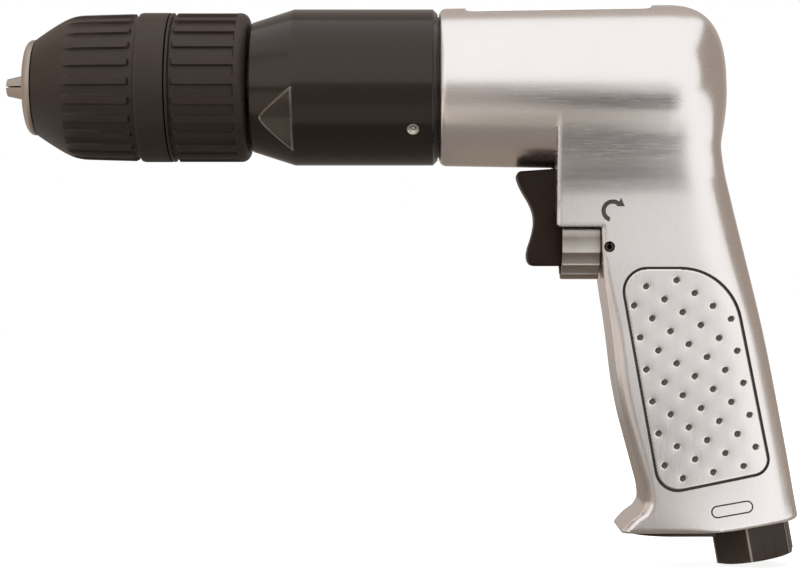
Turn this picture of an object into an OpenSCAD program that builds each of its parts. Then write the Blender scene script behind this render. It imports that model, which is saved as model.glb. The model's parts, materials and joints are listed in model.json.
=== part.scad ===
// Pistol-grip reversible air drill with a keyless chuck.
// X runs along the spindle from the jaw tips to the rear, Y across, Z up. Sizes in millimetres.

/* [Keyless chuck] */
// How far the closed jaws stand out of the nose collar
jaw_reach = 6.6; // [5.5:0.1:8]
// Slope of the jaws against the spindle
jaw_tilt = 14; // [13:0.5:15]
// Radius of one round jaw
jaw_r = 3.6; // [3.2:0.1:3.8]
// Length of one jaw
jaw_len = 42; // [40:0.5:43]
// Outer radius of the three jaws at their tips
jaw_tip_r = 2.5; // [2.2:0.1:2.8]
// Radius held by the closed jaws
clamp_r = 0.8; // [0.6:0.1:1]
// Gap between neighbouring closed jaws
jaw_split = 0.5; // [0.4:0.1:0.8]
// Play of a jaw in its bore
jaw_play = 0.1; // [0.06:0.02:0.2]
// Outer radius of the nose collar
collar_r = 14.5; // [13.8:0.1:15]
// Length of the visible rim of the nose collar
collar_len = 2.7; // [2:0.1:3.5]
// Rounding of the front edge of the nose collar
collar_round = 2.4; // [1:0.1:2.4]
// Length of the spigot of the nose collar under the sleeve
collar_spigot = 3.7; // [2.5:0.1:5]
// Radius of the mouth of the nose collar
mouth_r = 7.4; // [7.1:0.1:8.2]
// Length of the turning front sleeve
front_sleeve_len = 40.4; // [39:0.2:44]
// Radius where the cone of the front sleeve ends
sleeve_shoulder_r = 21.6; // [21:0.1:22.4]
// Length of the cone of the front sleeve
sleeve_cone_len = 12; // [9:0.5:14]
// Largest radius of the front sleeve
sleeve_r = 22.9; // [22.4:0.1:24]
// Length of the rear sleeve
rear_sleeve_len = 23.5; // [22.5:0.1:25]
// Radius of the rear sleeve
rear_sleeve_r = 22.6; // [22:0.1:23.4]
// Rounding of the rear edge of the rear sleeve
rear_sleeve_round = 3; // [1.5:0.1:4]
// Number of grip bars around each sleeve
bar_count = 24; // [18:1:28]
// Radius of the grooves that leave the grip bars
bar_groove_r = 2; // [1.6:0.1:2.2]
// Depth of the grooves that leave the grip bars
bar_groove_deep = 0.55; // [0.3:0.05:0.8]
// Length of the grip bars
bar_len = 18; // [14:0.5:18.5]
// Outer radius of the jaw nut
nut_r = 17.5; // [16.8:0.1:18.2]
// Width of the jaw nut
nut_w = 8; // [6:0.5:8.5]
// Radius of one thrust ball
thrust_ball_r = 1.3; // [1:0.1:1.4]
// Number of thrust balls
thrust_ball_count = 20; // [12:1:24]

/* [Gear case] */
// Open ring between the chuck and the gear case
chuck_gap = 0.9; // [0.6:0.1:2]
// How much smaller the radius of the gear case is at its front
case_taper = 4.1; // [3:0.1:5]
// Step from the housing thread out to the gear case
case_step = 2.3; // [1.6:0.1:3]
// Length of the cone at the front of the gear case
case_cone_len = 12.8; // [9:0.2:14]
// Length of the gear case in front of its thread
case_len = 56.2; // [55.4:0.2:58]
// Chamfer of the rear edge of the gear case
case_chamfer = 1.5; // [0.8:0.1:1.8]
// Depth of the two spanner flats in the gear case
flat_deep = 2.9; // [2:0.1:3.8]
// Turn of the spanner flats below the horizontal
flat_turn = 31; // [0:1:60]
// Radius of the thread that joins the gear case and the housing
join_r = 21.4; // [21:0.1:21.8]
// Open ring between the gear case and the housing
join_gap = 0.4; // [0.3:0.1:1]
// Length of that thread inside the housing
join_len = 8; // [6:0.5:10]
// Radius of the grease fitting
fitting_r = 2.1; // [1.6:0.1:3]
// Distance of the grease fitting from the rear of the gear case
fitting_inset = 7.3; // [5:0.1:10]
// Turn of the grease fitting below the horizontal
fitting_turn = 37; // [0:1:60]

/* [Gears] */
// Tooth module of both gear stages
gear_module = 0.7; // [0.68:0.01:0.72]
// Pressure angle of the teeth
pressure_angle = 25; // [22:1:26]
// Thinning of every tooth for backlash
backlash = 0.12; // [0.1:0.01:0.16]
// Radius of a planet pin
planet_pin_r = 2.5; // [2:0.1:2.8]
// Width of a planet of the slow stage
planet2_w = 12; // [10:0.5:12.5]
// Width of a planet of the fast stage
planet1_w = 10; // [8:0.5:10.5]
// Thickness of a carrier plate
carrier_t = 4.5; // [3.5:0.1:4.8]
// Radius of a carrier plate
carrier_r = 15.4; // [14.2:0.1:15.6]
// Radius of the spindle in its bearing
journal_r = 7.5; // [7:0.1:7.8]
// Outer radius of the spindle bearing
bearing_r = 14; // [13.4:0.1:14.6]
// Width of the spindle bearing
bearing_w = 9; // [8:0.1:9.4]

/* [Motor] */
// Outer radius of the motor cylinder
cylinder_r = 21.3; // [20.9:0.1:21.3]
// Length of the motor cylinder
cylinder_len = 48; // [40:0.5:50]
// Radius of the bore of the motor cylinder
cylinder_bore_r = 17; // [16.8:0.1:17.2]
// Offset of that bore above the rotor
bore_offset = 1.8; // [1.4:0.05:1.8]
// Radius of the rotor
rotor_r = 15; // [14.4:0.1:15]
// Number of rotor vanes
vane_count = 5; // [4:1:6]
// Thickness of a vane
vane_t = 2; // [1.6:0.1:2.4]
// Height of a vane
vane_h = 6.8; // [5.5:0.1:7]
// Radius of the rotor shaft in its bearings
shaft_r = 5; // [4.8:0.1:5.3]
// Outer radius of the rotor bearings
rotor_bearing_r = 11; // [10.4:0.1:11.6]
// Width of the rotor bearings
rotor_bearing_w = 6; // [5:0.1:6.5]
// Thickness of the rear end plate
rear_plate_t = 9; // [8.5:0.1:10]

/* [Housing] */
// Wall of the housing barrel at its front
barrel_wall = 2.5; // [2.2:0.1:3.4]
// Growth of the radius of the barrel towards the rear
barrel_flare = 1.1; // [0:0.1:2]
// Length of the housing barrel
barrel_len = 87.7; // [85:0.5:96]
// Length of the dome at the rear
dome_len = 19; // [14:0.5:20]
// Rounding of the front edge of the housing
barrel_round = 2.2; // [0.8:0.1:2.4]
// Length of the bare label plate on top
label_len = 56; // [30:1:56]
// Distance of the label plate from the front of the housing
label_inset = 8; // [5:0.5:10]
// Half the wrap of the label plate
label_turn = 25; // [10:1:30]
// Thickness of the label plate
label_t = 0.2; // [0.1:0.05:0.4]

/* [Handle] */
// Distance of the handle block from the front of the housing
block_inset = 35.1; // [34:0.1:36]
// Distance that the trigger block stands in front of the handle
block_overhang = 13.5; // [13.4:0.1:15]
// Depth of the handle, front to back
grip_depth = 47; // [46:0.1:49]
// Drop from the spindle to the bottom of the handle
handle_drop = 134.2; // [132:0.1:140]
// Half the thickness of the handle
handle_half_w = 15.5; // [15:0.1:17]
// Tilt of the air inlet against the vertical
handle_tilt = 10; // [9:0.5:11]
// Radius of the air passage in the handle
passage_r = 5.5; // [4:0.1:5.8]
// Height of the exhaust chamber
muffler_len = 68; // [55:1:70]
// Thickness of the exhaust plate
plate_t = 1.2; // [0.8:0.1:1.6]
// Half the width of the exhaust plate
plate_half_w = 12.6; // [12.4:0.1:13]

/* [Trigger and reverse] */
// Height of the trigger
trigger_h = 29.7; // [28.5:0.1:30]
// Depth of the trigger, front to back
trigger_depth = 14.4; // [13:0.1:15]
// Half the width of the trigger
trigger_half_w = 6.5; // [6:0.1:6.6]
// Stroke of the trigger
trigger_stroke = 6; // [4:0.1:6]
// Drop from the top of the trigger to its stem
stem_inset = 5.8; // [5.5:0.1:6.4]
// Radius of the trigger stem
stem_r = 2.2; // [1.8:0.1:2.4]
// Radius of the throttle bore
throttle_bore_r = 5.4; // [5.2:0.1:5.6]
// Wire radius of the throttle spring
spring_wire_r = 0.5; // [0.35:0.05:0.6]
// Turns of the throttle spring
spring_turns = 7; // [5:1:8]
// Drop from the top of the trigger to the axis of the reverse knob
knob_inset = 21.5; // [21.4:0.1:22.2]
// Radius of the reverse knob
knob_r = 12.4; // [12:0.1:12.6]
// Length of the reverse knob along the spindle
knob_len = 12.2; // [12:0.1:12.4]
// Wall of the reverse knob
knob_wall = 1.6; // [1.4:0.1:1.6]
// Height of the straight cheeks of the knob above its axis
knob_cheek = 3.2; // [2.4:0.1:3.4]
// Thickness of the web of the reverse knob
knob_web = 4; // [3:0.1:4.2]
// Flutes on the round half of the knob
knob_flutes = 9; // [6:1:10]
// Radius of the reverse valve
reverse_r = 5.4; // [5:0.1:5.6]
// Length of the reverse valve
reverse_len = 19; // [15:0.5:19.5]
// Radius of the two retaining pins
pin_r = 1.5; // [1.2:0.05:1.6]

/* [Air inlet] */
// Width across the flats of the inlet hexagon
hex_flats = 22.4; // [20:0.1:22.6]
// Visible length of the inlet hexagon
hex_len = 10.5; // [9:0.1:13]
// Turn of the inlet hexagon
hex_turn = 17; // [0:1:30]
// Radius of the inlet thread
inlet_bore_r = 5.7; // [5.2:0.1:6.2]
// Depth of the inlet thread
inlet_bore_deep = 14; // [10:0.5:16]
// Radius of the thread that holds the inlet bushing
inlet_thread_r = 9; // [8.2:0.1:9.4]
// Distance of the inlet axis from the back of the handle, at the face of the hexagon
inlet_setback = 14; // [13.5:0.1:15]

/* [Clearances] */
// Gap of parts that are fixed together
fit_gap = 0.05; // [0.03:0.01:0.08]
// Radial gap of parts that turn inside each other
run_gap = 0.35; // [0.3:0.05:0.4]
// Gap along the spindle between parts that turn
side_gap = 0.4; // [0.3:0.05:0.45]
// Radial play of a pin or stem in its bore
pin_play = 0.08; // [0.06:0.01:0.1]

/* [Hidden] */
$fn = 72;
// How far a cutter runs past the face that it cuts
over = 1;
// Small chamfer and lip size
lip = 0.8;
jaw_axis_r = jaw_tip_r - jaw_r / cos(jaw_tilt);
jaw_turn = 270;
x_collar = jaw_reach;
x_sleeve = x_collar + collar_len + side_gap;
x_body = x_collar + lip * 1.6;
x_seam = x_sleeve + front_sleeve_len;
x_rear = x_seam + side_gap;
x_chuck_end = x_rear + rear_sleeve_len;
x_nut = x_sleeve + front_sleeve_len * 0.51;
x_balls = x_nut + nut_w + thrust_ball_r + pin_play * 2;
x_flange = x_balls + thrust_ball_r + pin_play * 2;
x_flange_end = x_rear + collar_len;
x_web = x_chuck_end - rear_sleeve_len * 0.35;
x_hub_end = x_chuck_end - side_gap;
body_nose_r = collar_r - jaw_r - fit_gap * 10;
body_r = body_nose_r + lip * 2;
body_step_x = x_body + collar_len * 3.7;
groove_r = jaw_tip_r + x_nut * tan(jaw_tilt) - lip * 0.5;
hub_r = body_nose_r + lip * 1.3;
chuck_bore_r = mouth_r - lip;
thread_r = mouth_r - lip * 1.4;
x_partition = x_flange + collar_len;
x_thread = x_flange_end + fit_gap;
screw_r = jaw_tip_r;
sleeve_bore_r = body_r + run_gap;
nut_seat_r = nut_r + fit_gap;
flange_r = nut_r - run_gap;
cavity_r = rear_sleeve_r - jaw_r;

case_r = join_r + case_step;
case_front_r = case_r - case_taper;
flat_dist = case_r - flat_deep;
x_case = x_chuck_end + chuck_gap;
x_cone_end = x_case + case_cone_len;
x_case_end = x_case + case_len;
x_house = x_case_end + join_gap;
x_join_end = x_house + join_len;
shoulder_r = journal_r * 1.2;
x_bearing = x_case + lip * 4.4;
x_clip = x_bearing + bearing_w + fit_gap;
clip_w = lip * 1.5;
x_carrier2 = x_clip + clip_w + lip * 1.3;
x_planet2 = x_carrier2 + carrier_t + side_gap;
x_carrier1 = x_planet2 + planet2_w + side_gap;
x_planet1 = x_carrier1 + carrier_t + side_gap;
x_gear_end = x_planet1 + planet1_w;
x_spacer = x_gear_end + side_gap * 2;
spacer_t = lip * 3;
x_front_plate = x_spacer + spacer_t + fit_gap;
chamber_r = join_r - carrier_t * 0.4;
ring_r = chamber_r - fit_gap;
x_chamber = x_clip + clip_w;

sun_teeth = 12;
planet_teeth = 18;
ring_teeth = 48;
planet_pos_r = gear_module * (sun_teeth + planet_teeth) / 2;
planet_bore_r = planet_pin_r + pin_play;
root_share = 1.25;
pin_base = carrier_t * 0.8;

front_flange_t = lip * 4.4;
x_cylinder = x_join_end + front_flange_t + fit_gap * 2;
x_rear_plate = x_cylinder + cylinder_len + fit_gap;
x_bore_end = x_rear_plate + rear_plate_t + fit_gap * 10;
motor_bore_r = join_r + fit_gap;
x_bearing_f = x_cylinder - rotor_bearing_w - lip * 2;
x_bearing_r = x_rear_plate + lip * 1.6;
shaft_hole_r = shaft_r + lip;
pinion_shaft_r = gear_module * sun_teeth / 2 - gear_module * root_share;
dowel_r = lip * 1.5;
dowel_drop = cylinder_r - dowel_r * 2.4;
slot_floor_r = rotor_r - vane_h - fit_gap * 3;

barrel_r = join_r + barrel_wall;
barrel_rear_r = barrel_r + barrel_flare;
x_house_end = x_house + barrel_len;
x_dome = x_house_end - dome_len;
x_block = x_house + block_inset;
x_step = x_block + block_overhang;

x_trigger_rear = x_step - knob_len + lip * 1.4;
x_trigger = x_trigger_rear - trigger_depth;
trigger_top = barrel_at(x_trigger_rear) + run_gap * 0.5;
stem_drop = trigger_top + stem_inset;
knob_drop = trigger_top + knob_inset;
slot_gap = run_gap;
x_slot_end = x_trigger_rear + trigger_stroke + lip * 1.5;
x_throttle = x_slot_end + fit_gap * 4;
bushing_len = trigger_depth;
x_seat = x_throttle + bushing_len;
valve_r = throttle_bore_r - lip * 1.5;
valve_t = lip * 3.5;
x_valve = x_seat + fit_gap * 4;
x_throttle_end = x_block + grip_depth * 0.97;
x_spring = x_valve + valve_t + spring_wire_r + fit_gap;
spring_len = x_throttle_end - x_spring - spring_wire_r - fit_gap;
spring_r = valve_r - spring_wire_r * 2;
seal_r = lip;

x_knob = x_step - knob_len - fit_gap * 4;
knob_sweep_r = sqrt(knob_r * knob_r + knob_cheek * knob_cheek) + run_gap;
knob_stem_r = reverse_r * 0.63;
x_reverse = x_step + fit_gap * 4;
reverse_groove_r = reverse_r * 0.6;
x_pin = x_step + pin_r * 1.4;
pin_drop = knob_drop + pin_r * 1.75;

x_inlet = x_block + grip_depth * 1.604 - inlet_setback;
inlet_drop = handle_drop + hex_len * 0.82;
inlet_stub = hex_len * 1.28;
hex_corner_r = hex_flats * 0.5425;
inlet_top = hex_len + inlet_stub;
screen_t = lip;
passage_len = (inlet_drop - stem_drop) / cos(handle_tilt);
muffler_r = grip_depth * 0.18;
x_muffler = x_inlet - inlet_thread_r - muffler_r - passage_r * 1.28;
plate_front_x = x_block + grip_depth * 0.475;
plate_rear_x = x_inlet - hex_corner_r - lip * 2.2;
plate_screw_r = lip * 1.4;
plate_screw_y = plate_half_w - lip * 2.75;
plate_screw_len = lip * 9;

// Rows of the handle: drop, front, back and half thickness as shares, then squareness front and back
row_shares = [
    [-0.059, 0.060, 1.010, 1.130, 5.0, 3.0], [0.030, 0.000, 1.102, 1.355, 7.0, 3.0],
    [0.088, 0.000, 1.096, 1.368, 7.0, 3.0], [0.133, 0.000, 1.083, 1.316, 7.0, 3.0],
    [0.177, 0.000, 1.091, 1.226, 7.0, 3.0], [0.221, 0.000, 1.121, 1.142, 7.0, 3.0],
    [0.265, 0.000, 1.153, 1.077, 7.0, 3.0], [0.314, 0.000, 1.187, 1.032, 7.0, 3.0],
    [0.317, 0.282, 1.189, 1.029, 7.0, 3.6], [0.376, 0.282, 1.234, 1.006, 6.0, 4.0],
    [0.457, 0.290, 1.291, 1.000, 4.8, 4.2], [0.553, 0.328, 1.355, 1.000, 4.6, 4.2],
    [0.648, 0.366, 1.415, 1.000, 4.6, 4.2], [0.728, 0.404, 1.449, 1.000, 4.6, 4.2],
    [0.795, 0.453, 1.485, 1.000, 4.6, 4.2], [0.862, 0.504, 1.521, 1.000, 4.6, 4.2],
    [0.906, 0.534, 1.543, 1.000, 4.6, 4.2], [0.932, 0.532, 1.557, 1.000, 4.6, 4.2],
    [0.951, 0.506, 1.570, 1.000, 4.6, 4.2], [0.965, 0.447, 1.579, 1.000, 4.6, 4.2],
    [0.981, 0.419, 1.587, 1.000, 4.6, 4.2], [0.999, 0.411, 1.598, 1.000, 4.6, 4.2],
    [1.012, 0.434, 1.604, 1.000, 4.6, 4.2], [1.032, 0.460, 1.615, 1.000, 4.6, 4.2]
];
// Swell of the front sleeve's cone: shares of the cone's length and of its rise from collar to shoulder
cone_shares = [[0.000, 0.090], [0.310, 0.440], [0.720, 0.860], [1.000, 1.000]];
// Side outline of the trigger: shares of its depth and height from the top of its rear
trigger_shares = [
    [1.000, 0.000], [0.020, 0.042], [0.000, 0.074], [0.062, 0.175], [0.132, 0.255], [0.257, 0.340],
    [0.319, 0.421], [0.382, 0.515], [0.319, 0.667], [0.299, 0.751], [0.236, 0.912], [0.257, 0.970],
    [0.340, 1.000], [1.000, 1.000]
];

module rod_x(x0, x1, r, drop = 0) {
    translate([x0, 0, -drop])
        rotate([0, 90, 0])
            cylinder(r = r, h = x1 - x0);
}

module tube_x(x0, x1, r_out, r_in, drop = 0) {
    difference() {
        rod_x(x0, x1, r_out, drop);
        rod_x(x0 - over, x1 + over, r_in, drop);
    }
}

// Turned part: points are [radius, x]
module turned(points) {
    rotate([0, 90, 0])
        rotate_extrude()
            polygon(points);
}

module ball_ring(x, ring, r, count) {
    for (i = [0 : count - 1])
        rotate([360 * i / count, 0, 0])
            translate([x, ring, 0])
                sphere(r = r);
}

module ball_track(x, ring, r) {
    translate([x, 0, 0])
        rotate([0, 90, 0])
            rotate_extrude()
                translate([ring, 0])
                    circle(r = r);
}

module bearing_outer(x, w, r_out, r_in) {
    ring = (r_out + r_in) / 2;
    third = (r_out - r_in) / 3;
    difference() {
        tube_x(x, x + w, r_out - fit_gap, r_out - third);
        ball_track(x + w / 2, ring, third * 0.8 + pin_play);
    }
}

module bearing_inner(x, w, r_out, r_in) {
    ring = (r_out + r_in) / 2;
    third = (r_out - r_in) / 3;
    difference() {
        tube_x(x, x + w, r_in + third, r_in + fit_gap);
        ball_track(x + w / 2, ring, third * 0.8 + pin_play);
    }
}

module bearing_balls(x, w, r_out, r_in, count) {
    third = (r_out - r_in) / 3;
    ball_ring(x + w / 2, (r_out + r_in) / 2, third * 0.8, count);
}

function involute(a) = tan(a) * 180 / PI - a;

// Half the angle of a tooth at radius r
function tooth_half(r, pitch_r, thin) =
    let (base_r = pitch_r * cos(pressure_angle))
    (PI * gear_module / 2 - thin) / 2 / pitch_r * 180 / PI + involute(pressure_angle)
        - involute(acos(min(1, base_r / r)));

function polar(r, a) = [r * cos(a), r * sin(a)];

function tooth_points(teeth, root_r, tip_r, thin) =
    let (pitch_r = gear_module * teeth / 2)
    let (base_r = max(root_r, pitch_r * cos(pressure_angle)))
    let (mid_r = (base_r + tip_r) / 2)
    let (h0 = tooth_half(base_r, pitch_r, thin))
    let (h1 = tooth_half(mid_r, pitch_r, thin))
    let (h2 = tooth_half(tip_r, pitch_r, thin))
    [for (i = [0 : teeth - 1])
        let (a = 360 * i / teeth)
        each [
            polar(root_r, a - h0), polar((base_r + root_r) / 2 + fit_gap, a - h0), polar(mid_r, a - h1),
            polar(tip_r, a - h2), polar(tip_r, a + h2), polar(mid_r, a + h1),
            polar((base_r + root_r) / 2 + fit_gap, a + h0), polar(root_r, a + h0)
        ]];

module gear_x(x, w, teeth) {
    pitch_r = gear_module * teeth / 2;
    translate([x, 0, 0])
        rotate([0, 90, 0])
            linear_extrude(w)
                polygon(tooth_points(teeth, pitch_r - gear_module * root_share, pitch_r + gear_module,
                    backlash));
}

module planet(x, w, place) {
    rotate([120 * place, 0, 0])
        translate([0, 0, -planet_pos_r])
            difference() {
                rotate([180 / planet_teeth, 0, 0])
                    gear_x(x, w, planet_teeth);
                rod_x(x - over, x + w + over, planet_bore_r);
            }
}

module planet_pins(x0, x1) {
    for (place = [0 : 2])
        rotate([120 * place, 0, 0])
            rod_x(x0, x1, planet_pin_r, planet_pos_r);
}

module pin_holes(x0, x1) {
    for (place = [0 : 2])
        rotate([120 * place, 0, 0])
            rod_x(x0, x1, planet_pin_r + fit_gap, planet_pos_r);
}

module jaw_bore(play, front, length) {
    translate([0, 0, jaw_axis_r])
        rotate([0, 90 - jaw_tilt, 0])
            translate([0, 0, -front])
                cylinder(r = jaw_r + play, h = length + front);
}

module jaw(place) {
    apex = jaw_split / 2 / sin(60);
    far = jaw_len / 2;
    color("DimGray")
        rotate([jaw_turn + 120 * place, 0, 0])
            difference() {
                intersection() {
                    jaw_bore(0, jaw_r, jaw_len);
                    rotate([90, 0, 90])
                        linear_extrude(jaw_len)
                            polygon([
                                [0, apex], [far, apex + far / tan(60)], [far, far * 2],
                                [-far, far * 2], [-far, apex + far / tan(60)]
                            ]);
                }
                rod_x(-over, jaw_len, clamp_r);
            }
}

// Dome outline: share of a quarter turn to [radius, x]
function dome_point(a) =
    [barrel_rear_r * pow(cos(a), 2 / 2.8), x_dome + dome_len * pow(sin(a), 2 / 2.8)];

module barrel() {
    steps = 14;
    front = [for (i = [0 : 4]) let (a = 90 * i / 4)
        [barrel_r - barrel_round + barrel_round * sin(a), x_house + barrel_round - barrel_round * cos(a)]];
    rear = [for (i = [0 : steps]) let (a = 90 * i / steps) i == steps ? [0, x_house_end] : dome_point(a)];
    turned(concat([[0, x_house]], front, rear));
}

function sign_pow(v, e) = v < 0 ? -pow(-v, e) : pow(v, e);

function row_points(row, count) =
    let (front = x_block + row[1] * grip_depth)
    let (back = x_block + row[2] * grip_depth)
    let (mid = (front + back) / 2)
    let (half = (back - front) / 2)
    let (wide = row[3] * handle_half_w)
    [for (i = [0 : count - 1])
        let (a = 360 * i / count)
        let (c = abs(cos(a)) < 0.0001 ? 0 : cos(a))
        let (s = abs(sin(a)) < 0.0001 ? 0 : sin(a))
        let (e = c < 0 ? row[4] : row[5])
        [mid + half * sign_pow(c, 2 / e), wide * sign_pow(s, 2 / e), -row[0] * handle_drop]];

module handle_loft() {
    count = 36;
    rows = len(row_shares);
    points = [for (row = row_shares) each row_points(row, count)];
    sides = [for (r = [0 : rows - 2]) for (i = [0 : count - 1])
        let (j = (i + 1) % count)
        let (a = r * count + i)
        let (b = r * count + j)
        each [[a, b, a + count], [b, b + count, a + count]]];
    top = [for (i = [1 : count - 2]) [0, i + 1, i]];
    last = (rows - 1) * count;
    bottom = [for (i = [1 : count - 2]) [last, last + i, last + i + 1]];
    polyhedron(points = points, faces = concat(sides, top, bottom));
}

module inlet_frame() {
    translate([x_inlet, 0, -inlet_drop])
        rotate([0, -handle_tilt, 0])
            children();
}

module muffler_frame() {
    translate([x_muffler, 0, -handle_drop])
        rotate([0, -handle_tilt, 0])
            children();
}

module housing_cuts() {
    rod_x(x_house - over, x_bore_end, motor_bore_r);
    slot_h = knob_drop - trigger_top + slot_gap;
    translate([x_block - over, -trigger_half_w - slot_gap, -knob_drop])
        cube([x_slot_end - x_block + over, 2 * (trigger_half_w + slot_gap), slot_h]);
    intersection() {
        rod_x(x_block - over, x_step, knob_sweep_r, knob_drop);
        translate([x_block - over, -knob_sweep_r, -knob_drop - knob_sweep_r])
            cube([trigger_depth * 2, 2 * knob_sweep_r, knob_sweep_r + knob_r * 0.66]);
    }
    rod_x(x_slot_end - over, x_throttle_end, throttle_bore_r, stem_drop);
    rod_x(x_step - over, x_reverse + reverse_len + fit_gap * 4, reverse_r + pin_play, knob_drop);
    translate([x_pin, 0, -pin_drop])
        rotate([90, 0, 0])
            cylinder(r = pin_r + fit_gap, h = grip_depth, center = true);
    inlet_frame() {
        translate([0, 0, hex_len - over])
            cylinder(r = inlet_thread_r + fit_gap, h = inlet_stub + screen_t + over + fit_gap * 2);
        cylinder(r = passage_r, h = passage_len);
        translate([-grip_depth, -grip_depth, -grip_depth])
            cube([grip_depth * 2, grip_depth * 2, grip_depth + hex_len]);
    }
    translate([x_block - over, -grip_depth, -handle_drop - grip_depth])
        cube([grip_depth * 2, grip_depth * 2, grip_depth]);
    muffler_frame()
        translate([0, 0, -over])
            cylinder(r = muffler_r, h = muffler_len + over);
    for (side = [-1, 1]) {
        translate([x_muffler - cylinder_bore_r, side * (muffler_r + lip), -cylinder_bore_r])
            rotate([0, 180 - handle_tilt / 2, 0])
                cylinder(r = stem_r, h = handle_drop - cylinder_bore_r - muffler_len + muffler_r * 1.35);
        translate([x_muffler, side * plate_screw_y, -handle_drop - over])
            cylinder(r = plate_screw_r + fit_gap, h = plate_screw_len + over);
    }
}

module motor_housing() {
    color("Silver")
        difference() {
            union() {
                barrel();
                handle_loft();
            }
            housing_cuts();
        }
}

function barrel_at(x) = barrel_r + (barrel_rear_r - barrel_r) * (x - x_house - barrel_round)
    / (x_dome - x_house - barrel_round);

module label_plate() {
    x0 = x_house + label_inset;
    x1 = x0 + label_len;
    r0 = barrel_at(x0) + fit_gap;
    r1 = barrel_at(x1) + fit_gap;
    color("White")
        rotate([0, 90, 0])
            rotate([0, 0, 180 - label_turn])
                rotate_extrude(angle = 2 * label_turn)
                    polygon([[r0, x0], [r0 + label_t, x0], [r1 + label_t, x1], [r1, x1]]);
}

module gear_case() {
    seal_seat_r = bearing_r - lip * 2.4;
    color("DimGray")
        difference() {
            turned([
                [shoulder_r + run_gap, x_case], [case_front_r, x_case], [case_r, x_cone_end],
                [case_r, x_case_end - case_chamfer], [case_r - case_chamfer, x_case_end], [join_r, x_case_end],
                [join_r, x_join_end], [chamber_r, x_join_end], [chamber_r, x_chamber],
                [bearing_r, x_chamber], [bearing_r, x_clip + clip_w + fit_gap],
                [bearing_r + lip, x_clip + clip_w + fit_gap], [bearing_r + lip, x_clip - fit_gap / 2],
                [bearing_r, x_clip - fit_gap / 2], [bearing_r, x_bearing - fit_gap],
                [seal_seat_r, x_bearing - fit_gap], [seal_seat_r, x_case + lip],
                [shoulder_r + run_gap, x_case + lip]
            ]);
            for (side = [0, 180])
                rotate([side + 180 + flat_turn, 0, 0])
                    translate([x_case - over, flat_dist, -case_r])
                        cube([case_cone_len + over, case_r, 2 * case_r]);
            fitting_place()
                cylinder(r = fitting_r + fit_gap, h = case_r);
        }
}

module fitting_place() {
    rotate([180 + fitting_turn, 0, 0])
        translate([x_case_end - fitting_inset, ring_r + fit_gap * 4, 0])
            rotate([-90, 0, 0])
                children();
}

module grease_fitting() {
    color("Silver")
        fitting_place()
            difference() {
                cylinder(r = fitting_r, h = case_r - ring_r);
                translate([0, 0, lip])
                    cylinder(r = fitting_r * 0.3, h = case_r);
            }
}

module ring_gear() {
    pitch_r = gear_module * ring_teeth / 2;
    x0 = x_planet2 - side_gap / 2;
    color("SlateGray")
        translate([x0, 0, 0])
            rotate([0, 90, 0])
                linear_extrude(x_gear_end + side_gap / 2 - x0)
                    difference() {
                        circle(r = ring_r);
                        rotate(180 / ring_teeth)
                            polygon(tooth_points(ring_teeth, pitch_r - gear_module,
                                pitch_r + gear_module * root_share, -backlash));
                    }
}

module spindle_seal() {
    color("Tan")
        tube_x(x_case + lip + fit_gap, x_bearing - fit_gap * 2, bearing_r - lip * 2.4 - fit_gap,
            shoulder_r + pin_play);
}

module spindle_bearing_outer() {
    color("Silver")
        bearing_outer(x_bearing, bearing_w, bearing_r, journal_r);
}

module spindle_bearing_inner() {
    color("Silver")
        bearing_inner(x_bearing, bearing_w, bearing_r, journal_r);
}

module spindle_bearing_balls() {
    color("White")
        bearing_balls(x_bearing, bearing_w, bearing_r, journal_r, 9);
}

module bearing_circlip() {
    color("DarkSlateGray")
        difference() {
            tube_x(x_clip, x_clip + clip_w, bearing_r + lip - fit_gap, bearing_r - lip * 1.5);
            translate([x_clip - over, -lip * 2, 0])
                cube([clip_w + over * 2, lip * 4, bearing_r + over * 2]);
        }
}

module gear_spacer() {
    color("Gray")
        tube_x(x_spacer, x_spacer + spacer_t, ring_r, shaft_hole_r);
}

module front_end_plate() {
    color("Gray")
        difference() {
            union() {
                rod_x(x_front_plate, x_join_end + fit_gap, ring_r - fit_gap);
                rod_x(x_join_end + fit_gap, x_join_end + front_flange_t, cylinder_r);
            }
            rod_x(x_front_plate - over, x_cylinder + over, shaft_hole_r);
            rod_x(x_bearing_f - fit_gap, x_cylinder + over, rotor_bearing_r);
            rod_x(x_join_end - lip * 2, x_cylinder + over, dowel_r + fit_gap, dowel_drop);
        }
}

module motor_cylinder() {
    color("LightSlateGray")
        difference() {
            rod_x(x_cylinder, x_cylinder + cylinder_len, cylinder_r);
            rod_x(x_cylinder - over, x_cylinder + cylinder_len + over, cylinder_bore_r, -bore_offset);
            rod_x(x_cylinder - over, x_cylinder + cylinder_len + over, dowel_r + fit_gap, dowel_drop);
            for (share = [0.35, 0.5, 0.65])
                translate([x_cylinder + cylinder_len * share, 0, 0])
                    rotate([90, 0, 0])
                        cylinder(r = stem_r, h = cylinder_r + over);
        }
}

module rear_end_plate() {
    color("Gray")
        difference() {
            rod_x(x_rear_plate, x_rear_plate + rear_plate_t, cylinder_r);
            rod_x(x_rear_plate - over, x_rear_plate + rear_plate_t + over, shaft_hole_r);
            rod_x(x_bearing_r - fit_gap, x_rear_plate + rear_plate_t + over, rotor_bearing_r);
            rod_x(x_rear_plate - over, x_rear_plate + lip * 4, dowel_r + fit_gap, dowel_drop);
        }
}

module cylinder_dowel() {
    color("Silver")
        rod_x(x_join_end - lip, x_rear_plate + lip * 3, dowel_r, dowel_drop);
}

module rotor_front_bearing_outer() {
    color("Silver")
        bearing_outer(x_bearing_f, rotor_bearing_w, rotor_bearing_r, shaft_r);
}

module rotor_front_bearing_inner() {
    color("Silver")
        bearing_inner(x_bearing_f, rotor_bearing_w, rotor_bearing_r, shaft_r);
}

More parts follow.
